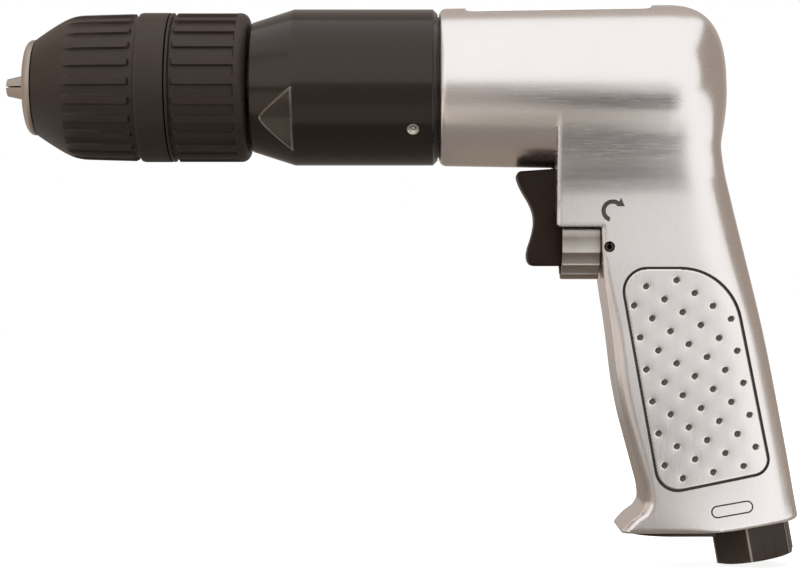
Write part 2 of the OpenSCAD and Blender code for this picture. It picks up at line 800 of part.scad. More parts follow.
module rotor_front_bearing_balls() {
    color("White")
        bearing_balls(x_bearing_f, rotor_bearing_w, rotor_bearing_r, shaft_r, 8);
}

module rotor_rear_bearing_outer() {
    color("Silver")
        bearing_outer(x_bearing_r, rotor_bearing_w, rotor_bearing_r, shaft_r);
}

module rotor_rear_bearing_inner() {
    color("Silver")
        bearing_inner(x_bearing_r, rotor_bearing_w, rotor_bearing_r, shaft_r);
}

module rotor_rear_bearing_balls() {
    color("White")
        bearing_balls(x_bearing_r, rotor_bearing_w, rotor_bearing_r, shaft_r, 8);
}

module throttle_bushing() {
    color("Peru")
        difference() {
            rod_x(x_throttle, x_seat, throttle_bore_r - fit_gap, stem_drop);
            rod_x(x_throttle - over, x_seat + over, stem_r + pin_play, stem_drop);
            rod_x(x_throttle + seal_r * 2, x_throttle + seal_r * 4 + fit_gap * 2,
                stem_r + seal_r * 2 + fit_gap, stem_drop);
            rod_x(x_seat - bushing_len * 0.4, x_seat + over, stem_r + seal_r, stem_drop);
            translate([x_seat - bushing_len * 0.25, 0, -stem_drop])
                cylinder(r = stem_r * 0.7, h = throttle_bore_r * 3, center = true);
        }
}

module throttle_seal() {
    color("Black")
        translate([x_throttle + seal_r * 3 + fit_gap, 0, -stem_drop])
            rotate([0, 90, 0])
                rotate_extrude()
                    translate([stem_r + seal_r + fit_gap, 0])
                        circle(r = seal_r - fit_gap / 2);
}

// Round wire wound around X
module throttle_spring() {
    sides = 6;
    steps = 14;
    rings = spring_turns * steps + 1;
    points = [for (k = [0 : rings - 1])
        let (a = 360 * k / steps)
        let (x = x_spring + spring_len * k / (rings - 1))
        for (s = [0 : sides - 1])
            let (t = 360 * s / sides)
            let (r = spring_r + spring_wire_r * cos(t))
            [x + spring_wire_r * sin(t), r * cos(a), r * sin(a) - stem_drop]];
    walls = [for (k = [0 : rings - 2]) for (s = [0 : sides - 1])
        let (a = k * sides + s)
        let (b = k * sides + (s + 1) % sides)
        each [[a, b, a + sides], [b, b + sides, a + sides]]];
    last = (rings - 1) * sides;
    first_cap = [for (s = [1 : sides - 2]) [0, s + 1, s]];
    last_cap = [for (s = [1 : sides - 2]) [last, last + s, last + s + 1]];
    color("Silver")
        polyhedron(points = points, faces = concat(walls, first_cap, last_cap));
}

module reverse_pins() {
    color("DimGray")
        for (side = [0, 180])
            translate([x_pin, 0, -pin_drop])
                rotate([90 + side, 0, 0])
                    translate([0, 0, reverse_groove_r + lip])
                        difference() {
                            cylinder(r = pin_r, h = handle_half_w - reverse_groove_r - lip * 2);
                            translate([0, 0, -over])
                                cylinder(r = pin_r * 0.55, h = handle_half_w);
                        }
}

module inlet_bushing() {
    color("DarkSlateGray")
        inlet_frame()
            difference() {
                union() {
                    intersection() {
                        rotate([0, 0, hex_turn])
                            cylinder(d = hex_flats / cos(30), h = hex_len - fit_gap, $fn = 6);
                        rotate_extrude()
                            polygon([
                                [0, 0], [hex_flats / 2, 0], [hex_corner_r, lip], [hex_corner_r, hex_len],
                                [0, hex_len]
                            ]);
                    }
                    translate([0, 0, hex_len / 2])
                        cylinder(r = inlet_thread_r, h = inlet_top - hex_len / 2);
                }
                translate([0, 0, -over])
                    cylinder(r = inlet_bore_r, h = inlet_bore_deep + over);
                cylinder(r = passage_r * 0.8, h = inlet_top + over);
            }
}

module inlet_screen() {
    color("Goldenrod")
        inlet_frame()
            translate([0, 0, inlet_top + fit_gap])
                difference() {
                    cylinder(r = inlet_thread_r, h = screen_t - fit_gap);
                    for (turn = [0 : 60 : 300])
                        rotate([0, 0, turn])
                            translate([passage_r * 0.55, 0, -over])
                                cylinder(r = passage_r * 0.2, h = screen_t + over * 2);
                    translate([0, 0, -over])
                        cylinder(r = passage_r * 0.2, h = screen_t + over * 2);
                }
}

module exhaust_plate() {
    color("Black")
        difference() {
            translate([0, 0, -handle_drop - plate_t])
                linear_extrude(plate_t - fit_gap)
                    union() {
                        translate([plate_front_x + plate_half_w, 0])
                            circle(r = plate_half_w);
                        translate([plate_front_x + plate_half_w, -plate_half_w])
                            square([plate_rear_x - plate_front_x - plate_half_w, plate_half_w * 2]);
                    }
            for (place = [-2 : 2])
                translate([x_muffler + place * lip * 3.5 - lip * 0.9, -muffler_r * 0.6,
                        -handle_drop - plate_t - over])
                    cube([lip * 1.8, muffler_r * 1.2, plate_t + over * 2]);
            for (side = [-1, 1])
                translate([x_muffler, side * plate_screw_y, -handle_drop - plate_t - over])
                    cylinder(r = plate_screw_r * 1.5 + fit_gap, h = plate_t + over * 2);
        }
}

module exhaust_screws() {
    color("Silver")
        for (side = [-1, 1])
            translate([x_muffler, side * plate_screw_y, -handle_drop - plate_t])
                difference() {
                    union() {
                        cylinder(r = plate_screw_r * 1.5, h = plate_t);
                        cylinder(r = plate_screw_r, h = plate_screw_len);
                    }
                    translate([-plate_screw_r * 2, -lip * 0.25, -over])
                        cube([plate_screw_r * 4, lip * 0.5, over + plate_t * 0.4]);
                }
}

module exhaust_silencer() {
    color("Tan")
        muffler_frame()
            translate([0, 0, plate_screw_len])
                difference() {
                    cylinder(r = muffler_r - fit_gap, h = muffler_len * 0.6);
                    translate([0, 0, -over])
                        cylinder(r = muffler_r * 0.4, h = muffler_len);
                }
}

module spindle() {
    color("Silver")
        difference() {
            turned([
                [0, x_thread], [thread_r - fit_gap, x_thread], [thread_r - fit_gap, x_hub_end],
                [shoulder_r, x_hub_end], [shoulder_r, x_bearing - fit_gap], [journal_r, x_bearing - fit_gap],
                [journal_r, x_clip + lip], [journal_r + lip * 2, x_carrier2],
                [carrier_r, x_carrier2], [carrier_r, x_carrier2 + carrier_t], [0, x_carrier2 + carrier_t]
            ]);
            rod_x(x_thread - over, x_thread + jaw_len * 0.28, screw_r + fit_gap);
            pin_holes(x_carrier2 + carrier_t - pin_base, x_carrier2 + carrier_t + over);
        }
}

module stage2_pins() {
    color("Silver")
        planet_pins(x_carrier2 + carrier_t - pin_base + fit_gap, x_planet2 + planet2_w);
}

module chuck_body() {
    color("Gray")
        difference() {
            turned([
                [0, x_body], [body_nose_r, x_body], [body_nose_r, body_step_x], [body_r, body_step_x],
                [body_r, x_nut - side_gap], [groove_r, x_nut - side_gap], [groove_r, x_flange],
                [flange_r, x_flange], [flange_r, x_flange_end], [hub_r, x_flange_end],
                [hub_r, x_hub_end - fit_gap], [0, x_hub_end - fit_gap]
            ]);
            rod_x(x_body - over, x_partition, chuck_bore_r);
            rod_x(x_partition - over, x_thread + over, screw_r + fit_gap);
            rod_x(x_flange_end, x_hub_end + over, thread_r);
            for (place = [0 : 2])
                rotate([jaw_turn + 120 * place, 0, 0])
                    jaw_bore(jaw_play, jaw_r, jaw_len * 1.62);
        }
}

module chuck_nose_collar() {
    ring = [for (i = [0 : 5]) let (a = 90 * i / 5)
        [collar_r - collar_round + collar_round * sin(a), x_collar + collar_round - collar_round * cos(a)]];
    color("Gray")
        turned(concat([[mouth_r, x_collar]], ring, [
            [collar_r, x_sleeve - side_gap], [body_nose_r + lip * 2, x_sleeve - side_gap],
            [body_nose_r + lip * 2, x_sleeve + collar_spigot], [body_nose_r + fit_gap, x_sleeve + collar_spigot],
            [body_nose_r + fit_gap, x_body - fit_gap], [mouth_r, x_body - fit_gap]
        ]));
}

module bar_grooves(x0, x1, r) {
    for (i = [0 : bar_count - 1])
        rotate([360 * (i + 0.5) / bar_count, 0, 0])
            rod_x(x0, x1, bar_groove_r, r - bar_groove_deep + bar_groove_r);
}

module chuck_front_sleeve() {
    bar_x = x_sleeve + sleeve_cone_len + lip;
    cone = [for (share = cone_shares)
        [collar_r + (sleeve_shoulder_r - collar_r) * share[1], x_sleeve + sleeve_cone_len * share[0]]];
    color("DarkSlateGray")
        difference() {
            turned(concat([[sleeve_bore_r, x_sleeve]], cone, [
                [sleeve_r, x_seam - lip * 6], [sleeve_r, x_seam], [nut_seat_r, x_seam],
                [nut_seat_r, x_nut - fit_gap], [sleeve_bore_r, x_nut - fit_gap]
            ]));
            bar_grooves(bar_x, bar_x + bar_len, sleeve_shoulder_r + bar_groove_deep * 0.5);
        }
}

module chuck_nut() {
    inner = [for (x = [x_nut, x_nut + nut_w]) [jaw_tip_r + x * tan(jaw_tilt) + run_gap, x]];
    color("SlateGray")
        turned([inner[0], [nut_r, x_nut], [nut_r, x_nut + nut_w], inner[1]]);
}

module chuck_thrust_balls() {
    color("White")
        ball_ring(x_balls, (flange_r + hub_r) / 2 + lip, thrust_ball_r, thrust_ball_count);
}

module chuck_rear_sleeve() {
    corner = [for (i = [0 : 5]) let (a = 90 * i / 5)
        [rear_sleeve_r - rear_sleeve_round + rear_sleeve_round * cos(a),
            x_chuck_end - rear_sleeve_round + rear_sleeve_round * sin(a)]];
    bar_x = x_rear + lip * 2.6;
    color("DarkSlateGray")
        difference() {
            turned(concat([
                [flange_r + fit_gap, x_rear], [rear_sleeve_r, x_rear]
            ], corner, [
                [hub_r + fit_gap, x_chuck_end], [hub_r + fit_gap, x_web], [cavity_r, x_web],
                [cavity_r, x_flange_end + lip], [flange_r + fit_gap, x_flange_end + lip]
            ]));
            bar_grooves(bar_x, bar_x + bar_len, rear_sleeve_r);
        }
}

module chuck_screw() {
    head_x = x_partition - screw_r;
    color("DimGray")
        difference() {
            union() {
                rod_x(head_x, x_partition - fit_gap, screw_r * 1.7);
                rod_x(x_partition - fit_gap, x_thread + jaw_len * 0.25, screw_r);
            }
            translate([head_x - over, 0, 0])
                rotate([0, 90, 0])
                    cylinder(r = screw_r * 0.8, h = over + screw_r * 0.7, $fn = 6);
        }
}

module jaw_1() {
    jaw(0);
}

module jaw_2() {
    jaw(1);
}

module jaw_3() {
    jaw(2);
}

module planet_carrier() {
    color("SlateGray")
        difference() {
            union() {
                rod_x(x_carrier1, x_carrier1 + carrier_t, carrier_r);
                gear_x(x_planet2, x_carrier1 + fit_gap - x_planet2, sun_teeth);
            }
            pin_holes(x_carrier1 + carrier_t - pin_base, x_carrier1 + carrier_t + over);
        }
}

module stage1_pins() {
    color("Silver")
        planet_pins(x_carrier1 + carrier_t - pin_base + fit_gap, x_planet1 + planet1_w);
}

module planet_1a() {
    color("Gray")
        planet(x_planet1, planet1_w, 0);
}

module planet_1b() {
    color("Gray")
        planet(x_planet1, planet1_w, 1);
}

module planet_1c() {
    color("Gray")
        planet(x_planet1, planet1_w, 2);
}

module planet_2a() {
    color("Gray")
        planet(x_planet2, planet2_w, 0);
}

module planet_2b() {
    color("Gray")
        planet(x_planet2, planet2_w, 1);
}

module planet_2c() {
    color("Gray")
        planet(x_planet2, planet2_w, 2);
}

module rotor() {
    color("Silver")
        difference() {
            union() {
                gear_x(x_planet1, x_spacer + spacer_t - x_planet1, sun_teeth);
                turned([
                    [0, x_spacer + spacer_t - fit_gap], [pinion_shaft_r, x_spacer + spacer_t - fit_gap],
                    [pinion_shaft_r, x_bearing_f - lip], [shaft_r, x_bearing_f],
                    [shaft_r, x_cylinder + side_gap], [rotor_r, x_cylinder + side_gap],
                    [rotor_r, x_rear_plate - side_gap], [shaft_r, x_rear_plate - side_gap],
                    [shaft_r, x_bearing_r + rotor_bearing_w], [0, x_bearing_r + rotor_bearing_w]
                ]);
            }
            for (i = [0 : vane_count - 1])
                rotate([360 * i / vane_count, 0, 0])
                    translate([x_cylinder, -vane_t / 2 - pin_play, slot_floor_r])
                        cube([cylinder_len, vane_t + pin_play * 2, rotor_r]);
        }
}

module rotor_vanes() {
    color("SaddleBrown")
        for (i = [0 : vane_count - 1])
            rotate([360 * i / vane_count, 0, 0])
                translate([x_cylinder + side_gap, -vane_t / 2, rotor_r - fit_gap * 2 - vane_h])
                    cube([cylinder_len - side_gap * 2, vane_t, vane_h]);
}

module trigger() {
    outline = [for (p = trigger_shares)
        [x_trigger + p[0] * trigger_depth, -trigger_top - p[1] * trigger_h]];
    color("DarkSlateGray")
        difference() {
            rotate([90, 0, 0])
                linear_extrude(trigger_half_w * 2, center = true)
                    polygon(outline);
            rod_x(x_trigger_rear - trigger_depth * 0.5, x_trigger_rear + over, stem_r + fit_gap, stem_drop);
        }
}

module trigger_stem() {
    color("Silver")
        rod_x(x_trigger_rear - trigger_depth * 0.5 + fit_gap, x_valve + valve_t * 0.8, stem_r, stem_drop);
}

module throttle_valve() {
    color("Black")
        difference() {
            rod_x(x_valve, x_valve + valve_t, valve_r, stem_drop);
            rod_x(x_valve - over, x_valve + valve_t * 0.8 + fit_gap, stem_r + fit_gap, stem_drop);
        }
}

// Round lower half with straight cheeks, open at the top
module knob_shape(r, x0, x1) {
    rod_x(x0, x1, r, knob_drop);
    translate([x0, -r, -knob_drop])
        cube([x1 - x0, 2 * r, knob_cheek]);
}

module reverse_knob() {
    x_web_front = x_step - knob_web - fit_gap * 4;
    inner_r = knob_r - knob_wall;
    color("Silver")
        difference() {
            knob_shape(knob_r, x_knob, x_step - fit_gap * 4);
            knob_shape(inner_r, x_knob - over, x_web_front);
            translate([x_knob - over, -knob_r, -knob_drop + knob_cheek])
                cube([knob_len * 2, knob_r * 2, knob_r * 2]);
            translate([x_knob - over, -inner_r, -knob_drop])
                cube([x_web_front - x_knob + over, inner_r * 2, knob_r]);
            rod_x(x_web_front - over, x_step + over, knob_stem_r + fit_gap, knob_drop);
            translate([0, 0, -knob_drop])
                for (i = [0 : knob_flutes - 1])
                    rotate([180 * (i + 0.5) / knob_flutes, 0, 0])
                        translate([x_knob - over, -knob_r - lip * 0.4, 0])
                            rotate([0, 90, 0])
                                cylinder(r = lip, h = knob_len + over * 2);
        }
}

module reverse_valve() {
    color("Peru")
        difference() {
            union() {
                rod_x(x_step - knob_web - fit_gap * 4, x_reverse + fit_gap, knob_stem_r, knob_drop);
                rod_x(x_reverse, x_reverse + reverse_len, reverse_r, knob_drop);
            }
            tube_x(x_pin - pin_r - pin_play * 2, x_pin + pin_r + pin_play * 2, reverse_r + over,
                reverse_groove_r, knob_drop);
            translate([x_reverse + reverse_len * 0.65, -reverse_r * 2, -knob_drop + reverse_r * 0.35])
                cube([reverse_len * 0.2, reverse_r * 4, reverse_r]);
        }
}

motor_housing();
label_plate();
gear_case();
grease_fitting();
ring_gear();
spindle_seal();
spindle_bearing_outer();
bearing_circlip();
gear_spacer();
front_end_plate();
motor_cylinder();
rear_end_plate();
cylinder_dowel();
rotor_front_bearing_outer();
rotor_rear_bearing_outer();
throttle_bushing();
throttle_seal();
throttle_spring();
reverse_pins();
inlet_bushing();
inlet_screen();
exhaust_plate();
exhaust_silencer();
exhaust_screws();
spindle();
spindle_bearing_inner();
spindle_bearing_balls();
stage2_pins();
chuck_body();
chuck_nose_collar();
chuck_rear_sleeve();
chuck_screw();
chuck_front_sleeve();
chuck_nut();
chuck_thrust_balls();
jaw_1();
jaw_2();
jaw_3();
planet_carrier();
stage1_pins();
planet_1a();
planet_1b();
planet_1c();
planet_2a();
planet_2b();
planet_2c();
rotor();
rotor_vanes();
rotor_front_bearing_inner();
rotor_front_bearing_balls();
rotor_rear_bearing_inner();
rotor_rear_bearing_balls();
trigger();
trigger_stem();
throttle_valve();
reverse_knob();
reverse_valve();
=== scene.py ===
import json
import math

import bmesh
import bpy
import numpy as np
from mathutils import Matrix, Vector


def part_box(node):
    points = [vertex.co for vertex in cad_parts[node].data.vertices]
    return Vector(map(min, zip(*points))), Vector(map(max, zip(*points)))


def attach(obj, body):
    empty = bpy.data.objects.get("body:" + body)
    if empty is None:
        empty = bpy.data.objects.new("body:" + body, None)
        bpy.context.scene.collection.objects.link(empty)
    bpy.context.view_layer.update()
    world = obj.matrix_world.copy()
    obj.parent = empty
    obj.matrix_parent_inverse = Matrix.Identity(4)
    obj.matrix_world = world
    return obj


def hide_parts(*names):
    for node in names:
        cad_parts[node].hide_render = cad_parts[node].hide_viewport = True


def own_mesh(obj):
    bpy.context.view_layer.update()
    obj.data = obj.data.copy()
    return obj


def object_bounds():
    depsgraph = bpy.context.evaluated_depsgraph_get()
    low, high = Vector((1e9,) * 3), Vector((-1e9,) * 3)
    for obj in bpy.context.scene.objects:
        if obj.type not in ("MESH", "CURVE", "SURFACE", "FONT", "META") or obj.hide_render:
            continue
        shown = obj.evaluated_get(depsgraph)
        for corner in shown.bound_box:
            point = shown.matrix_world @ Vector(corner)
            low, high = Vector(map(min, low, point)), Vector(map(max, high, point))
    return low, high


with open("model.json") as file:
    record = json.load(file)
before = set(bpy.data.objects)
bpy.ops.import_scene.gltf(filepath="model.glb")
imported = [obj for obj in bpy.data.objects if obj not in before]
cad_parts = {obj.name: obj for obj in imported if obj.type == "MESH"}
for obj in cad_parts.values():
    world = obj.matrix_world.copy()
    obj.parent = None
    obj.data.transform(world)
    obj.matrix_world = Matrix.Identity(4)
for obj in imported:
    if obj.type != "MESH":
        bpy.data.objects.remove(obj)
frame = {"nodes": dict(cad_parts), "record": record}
cad_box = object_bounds()

# Sizes are millimetres in the frame of the part: X back along the spindle, Y across, Z up.
MM = 0.001


def node_box(name):
    """Lower and upper corner of a node of the part."""
    low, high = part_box(name)
    return np.array(low) / MM, np.array(high) / MM


HOUSE_LOW, HOUSE_HIGH = node_box("motor_housing")
CASE_LOW, CASE_HIGH = node_box("gear_case")
SLEEVE_LOW, SLEEVE_HIGH = node_box("chuck_front_sleeve")
REAR_LOW, REAR_HIGH = node_box("chuck_rear_sleeve")
COLLAR_LOW, COLLAR_HIGH = node_box("chuck_nose_collar")
TRIGGER_LOW, TRIGGER_HIGH = node_box("trigger")
KNOB_LOW, KNOB_HIGH = node_box("reverse_knob")
PINS_LOW, PINS_HIGH = node_box("reverse_pins")
PIN_X, _, PIN_Z = (PINS_LOW + PINS_HIGH) / 2
PIN_R = (PINS_HIGH[0] - PINS_LOW[0]) / 2
LABEL_LOW, LABEL_HIGH = node_box("label_plate")
FITTING_LOW, FITTING_HIGH = node_box("grease_fitting")
FITTING_AT = (FITTING_LOW + FITTING_HIGH) / 2
FITTING_OUT = np.array([0, *FITTING_AT[1:]]) / math.hypot(*FITTING_AT[1:])
RECORD = frame["record"]
MOUNTS = {mount["name"]: mount for mount in RECORD["mounts"]}
INLET_FACE = np.array(MOUNTS["air_inlet"]["pos_m"]) / MM
INLET_OUT = np.array(MOUNTS["air_inlet"]["axis"])
INLET_UP = -INLET_OUT
INLET_SIDE = np.array([INLET_UP[2], 0, -INLET_UP[0]])

# Barrel of the casting
BARREL_FRONT_R = 23.9
BARREL_REAR_R = HOUSE_HIGH[2]
BARREL_EDGE = 2.2
BARREL_BORE_R = 21.45
BARREL_END_X = HOUSE_LOW[0] + 86.8
DOME_LEN = 19
DOME_SQUARE = 2.8
DOME_X = BARREL_END_X - DOME_LEN

# Handle of the casting: (drop below the spindle, place or half thickness)
STEP_X = KNOB_HIGH[0] + 0.2
BLOCK_X = STEP_X - 13.5
BLOCK_DROP = 42.8
BLOCK_EDGE = 0.8
GRIP_EDGE = 3.2
BLOCK_BACK_SQUARE = 4.0
GRIP_BACK_SQUARE = 5.6
HANDLE_BACK = [
    (-9, 211.3), (4, 216.0), (12, 216.2), (18, 216.4), (24, 217.2), (36, 220.0), (51, 223.7), (75, 229.2),
    (98, 233.8), (116, 237.1), (122, 238.1), (128, 239.2), (140, 241.2),
]
GRIP_FRONT = [
    (40, 179.9), (54, 180.3), (62, 181.2), (70, 182.4), (78, 183.4), (88, 184.6), (98, 186.4), (107, 188.7),
    (116, 191.1), (122, 192.6), (125, 192.9), (128, 191.6), (130, 189.0), (132, 187.0), (134.5, 185.4),
    (140, 185.4),
]
HANDLE_HALF = [
    (-9, 19.0), (0, 20.4), (6, 21.0), (10, 21.1), (13, 20.9), (17, 20.2), (21, 19.2), (25, 18.1),
    (29, 17.2), (34, 16.6), (43, 16.2), (54, 15.9), (64, 15.65), (75, 15.5), (140, 15.5),
]
HANDLE_TOP = 9
BLEND_SIDE = 1.8
BLEND_BACK = 3.2
BLEND_TURN = (BLOCK_X + 34, BLOCK_X + 46)
GRIP_TURN = (BLOCK_DROP + 2, BLOCK_DROP + 38)
BLOCK_FLOOR_EDGE = 0.5
HANDLE_DROP = -node_box("exhaust_plate")[1][2]
HANDLE_EDGE = 1.2
HEX_LEN = 10.5

# Grip panel: corners of its outline and their radii, then the dimples
PANEL_CORNERS = [(184.6, -54.7, 7.4), (218.7, -54.7, 18.9), (230.9, -116.1, 5.3), (196.9, -123.1, 7.0)]
PANEL_GROOVE = 0.7
PANEL_DEEP = 1.1
PANEL_EDGE = 0.4
PANEL_CELL = 0.2
DIMPLE_START = (193.1, -60.6)
DIMPLE_ACROSS = (4.51, 0.931)
DIMPLE_ALONG = (0.912, -4.759)
DIMPLE_R = 1.0
DIMPLE_DEEP = 0.5
DIMPLE_DISH_R = 2.4
DIMPLE_DISH_DEEP = 0.05
DIMPLE_MARGIN = 2.4
# Depth from which the dimple pits and the panel's rounded rim get the dark as-cast finish as painted shade
DIMPLE_SHADE_FROM = DIMPLE_DISH_DEEP + 0.04
PANEL_SINK = 0.3
PANEL_THICK = 3.0

# Small marks on both sides of the casting
ARROW_AT = (183.1, -38.1)
ARROW_R = 2.73
ARROW_STROKE = 1.3
ARROW_SWEEP = (252, 54)
ARROW_HEAD = [(1.68, 58), (1.41, 20), (0.65, 48)]
MARK_DEEP = 0.5
PILL_AT = (218.7, -126.9)
PILL_SIZE = (12.7, 3.8)
PILL_TURN = 10
PILL_ROUND = 0.99
PILL_LINE = 0.45

# Grid of the casting with its margins, the depth from which a face is a recess and gets the as-cast finish with
# painted shade, and the reach of side cutters
CASTING_CELL = 0.62
GRID_BEFORE = (1.2, 1.5, 1.5)
GRID_BEHIND = (2, 1.5, 1.5)
RECESS_FROM = 0.12
CUTTER_Y = HOUSE_HIGH[1] + 4

# Cuts into the casting: how far they go, and the play around the pieces in them
MOTOR_BORE_DEEP = 69.2
TRIGGER_SLOT_PAST = 7.2
SLIDE_PLAY = 0.35
POCKET_RISE = 8.2
THROTTLE_BORE_END = BLOCK_X + 45.6
BUSHING_PLAY = 0.05
VALVE_PLAY = 0.08
VALVE_END_PLAY = 0.2
PIN_PLAY = 0.12
PIN_HOLE_DEEP = 8.0
INLET_THREAD_R = 9.05
INLET_THREAD_END = HEX_LEN + 14.4
PASSAGE_R = 5.5
PASSAGE_END = 112

# Sizes of the surface patterns. Real belt, lathe and mill lines, mould grain and casting pores are 0.02 to
# 0.1 mm wide; they are drawn coarser here, so that a picture of the whole part shows them.
BELT_LINE = 0.4
LATHE_LINE = 0.4
OXIDE_LINE = 0.6
MILL_LINE = 0.5
GRIND_LINE = 0.5
MOULD_GRAIN = 0.45
ACETAL_GRAIN = 0.6
CAST_PORE = 0.5

# Heights between which the belt lines turn from along the barrel to down the handle
BELT_TURN = (-34, -22)

# Values between which most of a noise pattern lies
NOISE_LOW, NOISE_HIGH = 0.3, 0.7


def hex_linear(code):
    """Turns an sRGB hex colour into linear RGBA."""
    parts = [int(code[i:i + 2], 16) / 255 for i in (0, 2, 4)]
    return [p / 12.92 if p <= 0.04045 else ((p + 0.055) / 1.055) ** 2.4 for p in parts] + [1.0]


def add(tree, kind, inputs=None, **settings):
    """Adds a node, sets it, and links or fills its inputs."""
    node = tree.nodes.new(kind)
    for name, value in settings.items():
        setattr(node, name, value)
    for socket, value in (inputs or {}).items():
        if isinstance(value, bpy.types.NodeSocket):
            tree.links.new(value, node.inputs[socket])
        else:
            node.inputs[socket].default_value = value
    return node


def start_material(name, constants):
    """New material with what is the same all over set on its shader, its tree, and the place on the piece."""
    material = bpy.data.materials.new(name)
    material.use_nodes = True
    tree = material.node_tree
    for socket, value in constants.items():
        tree.nodes["Principled BSDF"].inputs[socket].default_value = value
    return material, tree, add(tree, "ShaderNodeTexCoord").outputs["Object"]


def grain_of(tree, place, size_mm, stretch=(1.0, 1.0, 1.0)):
    """Noise of a real size; a stretch below 1 draws it out into lines along that axis."""
    mapped = add(tree, "ShaderNodeMapping", {"Vector": place, "Scale": stretch})
    return add(tree, "ShaderNodeTexNoise", {
        "Vector": mapped.outputs["Vector"], "Scale": 1 / (size_mm * MM), "Detail": 4.0, "Roughness": 0.6,
    }).outputs["Fac"]


def dress(material, tone, colours, grain, roughness, relief_mm, relief=0.3, worn_and_lit=None):
    """Colours a surface between two tones, and takes its roughness and relief from its grain.

    The last argument is the colour that shows where the piece's edge attribute marks rubbed edges and painted
    highlights.
    """
    tree = material.node_tree
    shader = tree.nodes["Principled BSDF"]
    colour = add(tree, "ShaderNodeMix", {
        "Factor": tone, "A": hex_linear(colours[0]), "B": hex_linear(colours[1]),
    }, data_type="RGBA").outputs["Result"]
    # Rubbed edges and painted highlights, from the piece's attribute
    if worn_and_lit:
        edge = add(tree, "ShaderNodeAttribute", attribute_name="wear_and_highlight").outputs["Fac"]
        colour = add(tree, "ShaderNodeMix", {
            "Factor": edge, "A": colour, "B": hex_linear(worn_and_lit),
        }, data_type="RGBA").outputs["Result"]
    tree.links.new(colour, shader.inputs["Base Color"])
    rough = add(tree, "ShaderNodeMapRange", {
        "Value": grain, "From Min": NOISE_LOW, "From Max": NOISE_HIGH,
        "To Min": roughness[0], "To Max": roughness[1],
    })
    tree.links.new(rough.outputs["Result"], shader.inputs["Roughness"])
    bumps = add(tree, "ShaderNodeBump", {"Height": grain, "Distance": relief_mm * MM, "Strength": relief})
    tree.links.new(bumps.outputs["Normal"], shader.inputs["Normal"])
    return material


def polished_casting():
    """Cast aluminium, belt polished: bright, with fine lines along the barrel and down the handle."""
    material, tree, place = start_material("polished_cast_aluminium", {"Metallic": 1.0})
    along = grain_of(tree, place, BELT_LINE, (0.05, 1.0, 1.0))
    down = grain_of(tree, place, BELT_LINE, (1.0, 1.0, 0.05))
    height = add(tree, "ShaderNodeSeparateXYZ", {"Vector": place}).outputs["Z"]
    upper = add(tree, "ShaderNodeMapRange", {
        "Value": height, "From Min": BELT_TURN[0] * MM, "From Max": BELT_TURN[1] * MM,
    }).outputs["Result"]
    lines = add(tree, "ShaderNodeMix", {"Factor": upper, "A": down, "B": along}).outputs["Result"]
    skin = grain_of(tree, place, 16.0)
    return dress(material, skin, ("F0EAE8", "F7F2F0"), lines, (0.22, 0.28), 0.01, 0.035)


def cast_recess_with_shade():
    """Cast aluminium as it leaves the mould, in cuts and marks that no belt reaches: grey and dull, and darker
    still as painted shade in the grooves, marks and bores.
    """
    material, tree, place = start_material("as_cast_aluminium_painted_shade", {"Metallic": 0.4})
    pits = grain_of(tree, place, CAST_PORE)
    return dress(material, pits, ("544B44", "6B6259"), pits, (0.5, 0.7), 0.05, 0.5)


def black_oxide_case():
    """Turned steel, black oxide and oil: deep brown black and glossy, bare on rubbed edges, with a painted
    highlight along the rims of the spanner flats and a faint painted sheen over the flats.
    """
    oiled = {"IOR": 1.6, "Specular Tint": hex_linear("F4E6DC")}
    material, tree, place = start_material("black_oxide_turned_steel", oiled)
    lines = grain_of(tree, place, OXIDE_LINE, (1.0, 0.05, 0.05))
    return dress(material, lines, ("15100E", "1C1613"), lines, (0.15, 0.2), 0.01, 0.08, "8E857C")


def glass_filled_plastic():
    """Glass-filled nylon from a spark-eroded mould: charcoal brown and dull, with a fine grain."""
    material, tree, place = start_material("glass_filled_nylon", {"Specular IOR Level": 0.32})
    grain = grain_of(tree, place, MOULD_GRAIN)
    tone = grain_of(tree, place, 6.0)
    return dress(material, tone, ("29201B", "322822"), grain, (0.4, 0.54), 0.05, 0.35)


def turned_steel():
    """Fine turned tool steel: warm grey, with lathe lines around the spindle."""
    material, tree, place = start_material("fine_turned_steel", {"Metallic": 1.0})
    lines = grain_of(tree, place, LATHE_LINE, (1.0, 0.08, 0.08))
    return dress(material, lines, ("A89C92", "BDB1A6"), lines, (0.42, 0.52), 0.015)


def tumbled_zinc():
    """Zinc die casting, tumbled: grey, softly mottled, with darker pores, and pale painted highlights on the
    flute ridges and along the lit top of the cheeks.
    """
    material, tree, place = start_material("tumbled_zinc_casting", {"Metallic": 1.0})
    pores = grain_of(tree, place, CAST_PORE)
    tone = grain_of(tree, place, 2.5, (0.5, 1.0, 1.0))
    return dress(material, tone, ("958C85", "BFB6AF"), pores, (0.38, 0.52), 0.06, 0.8, "F2EEEA")


def moulded_trigger_plastic():
    """Acetal, moulded: brown black and evenly satin."""
    material, tree, place = start_material("moulded_acetal", {"Specular IOR Level": 0.2})
    grain = grain_of(tree, place, ACETAL_GRAIN)
    return dress(material, grain, ("20130C", "281A12"), grain, (0.38, 0.48), 0.02, 0.2)


def oxide_bushing_steel():
    """Milled steel, black oxide: brown black and satin, rubbed bright on its edges by the spanner, with painted
    highlights along the turned corners of the hexagon.
    """
    material, tree, place = start_material("black_oxide_milled_steel", {"Metallic": 0.55})
    lines = grain_of(tree, place, MILL_LINE, (1.0, 1.0, 0.15))
    return dress(material, lines, ("3D342E", "4D433B"), lines, (0.34, 0.48), 0.02, 0.3, "B5ADA4")


def label_film():
    """Polyester label film, left bare: white and satin, with a faint mottle."""
    material, tree, place = start_material("polyester_label_film", {})
    tone = grain_of(tree, place, 5.0)
    return dress(material, tone, ("E3E1DE", "EDEBE9"), tone, (0.34, 0.42), 0.01, 0.1)


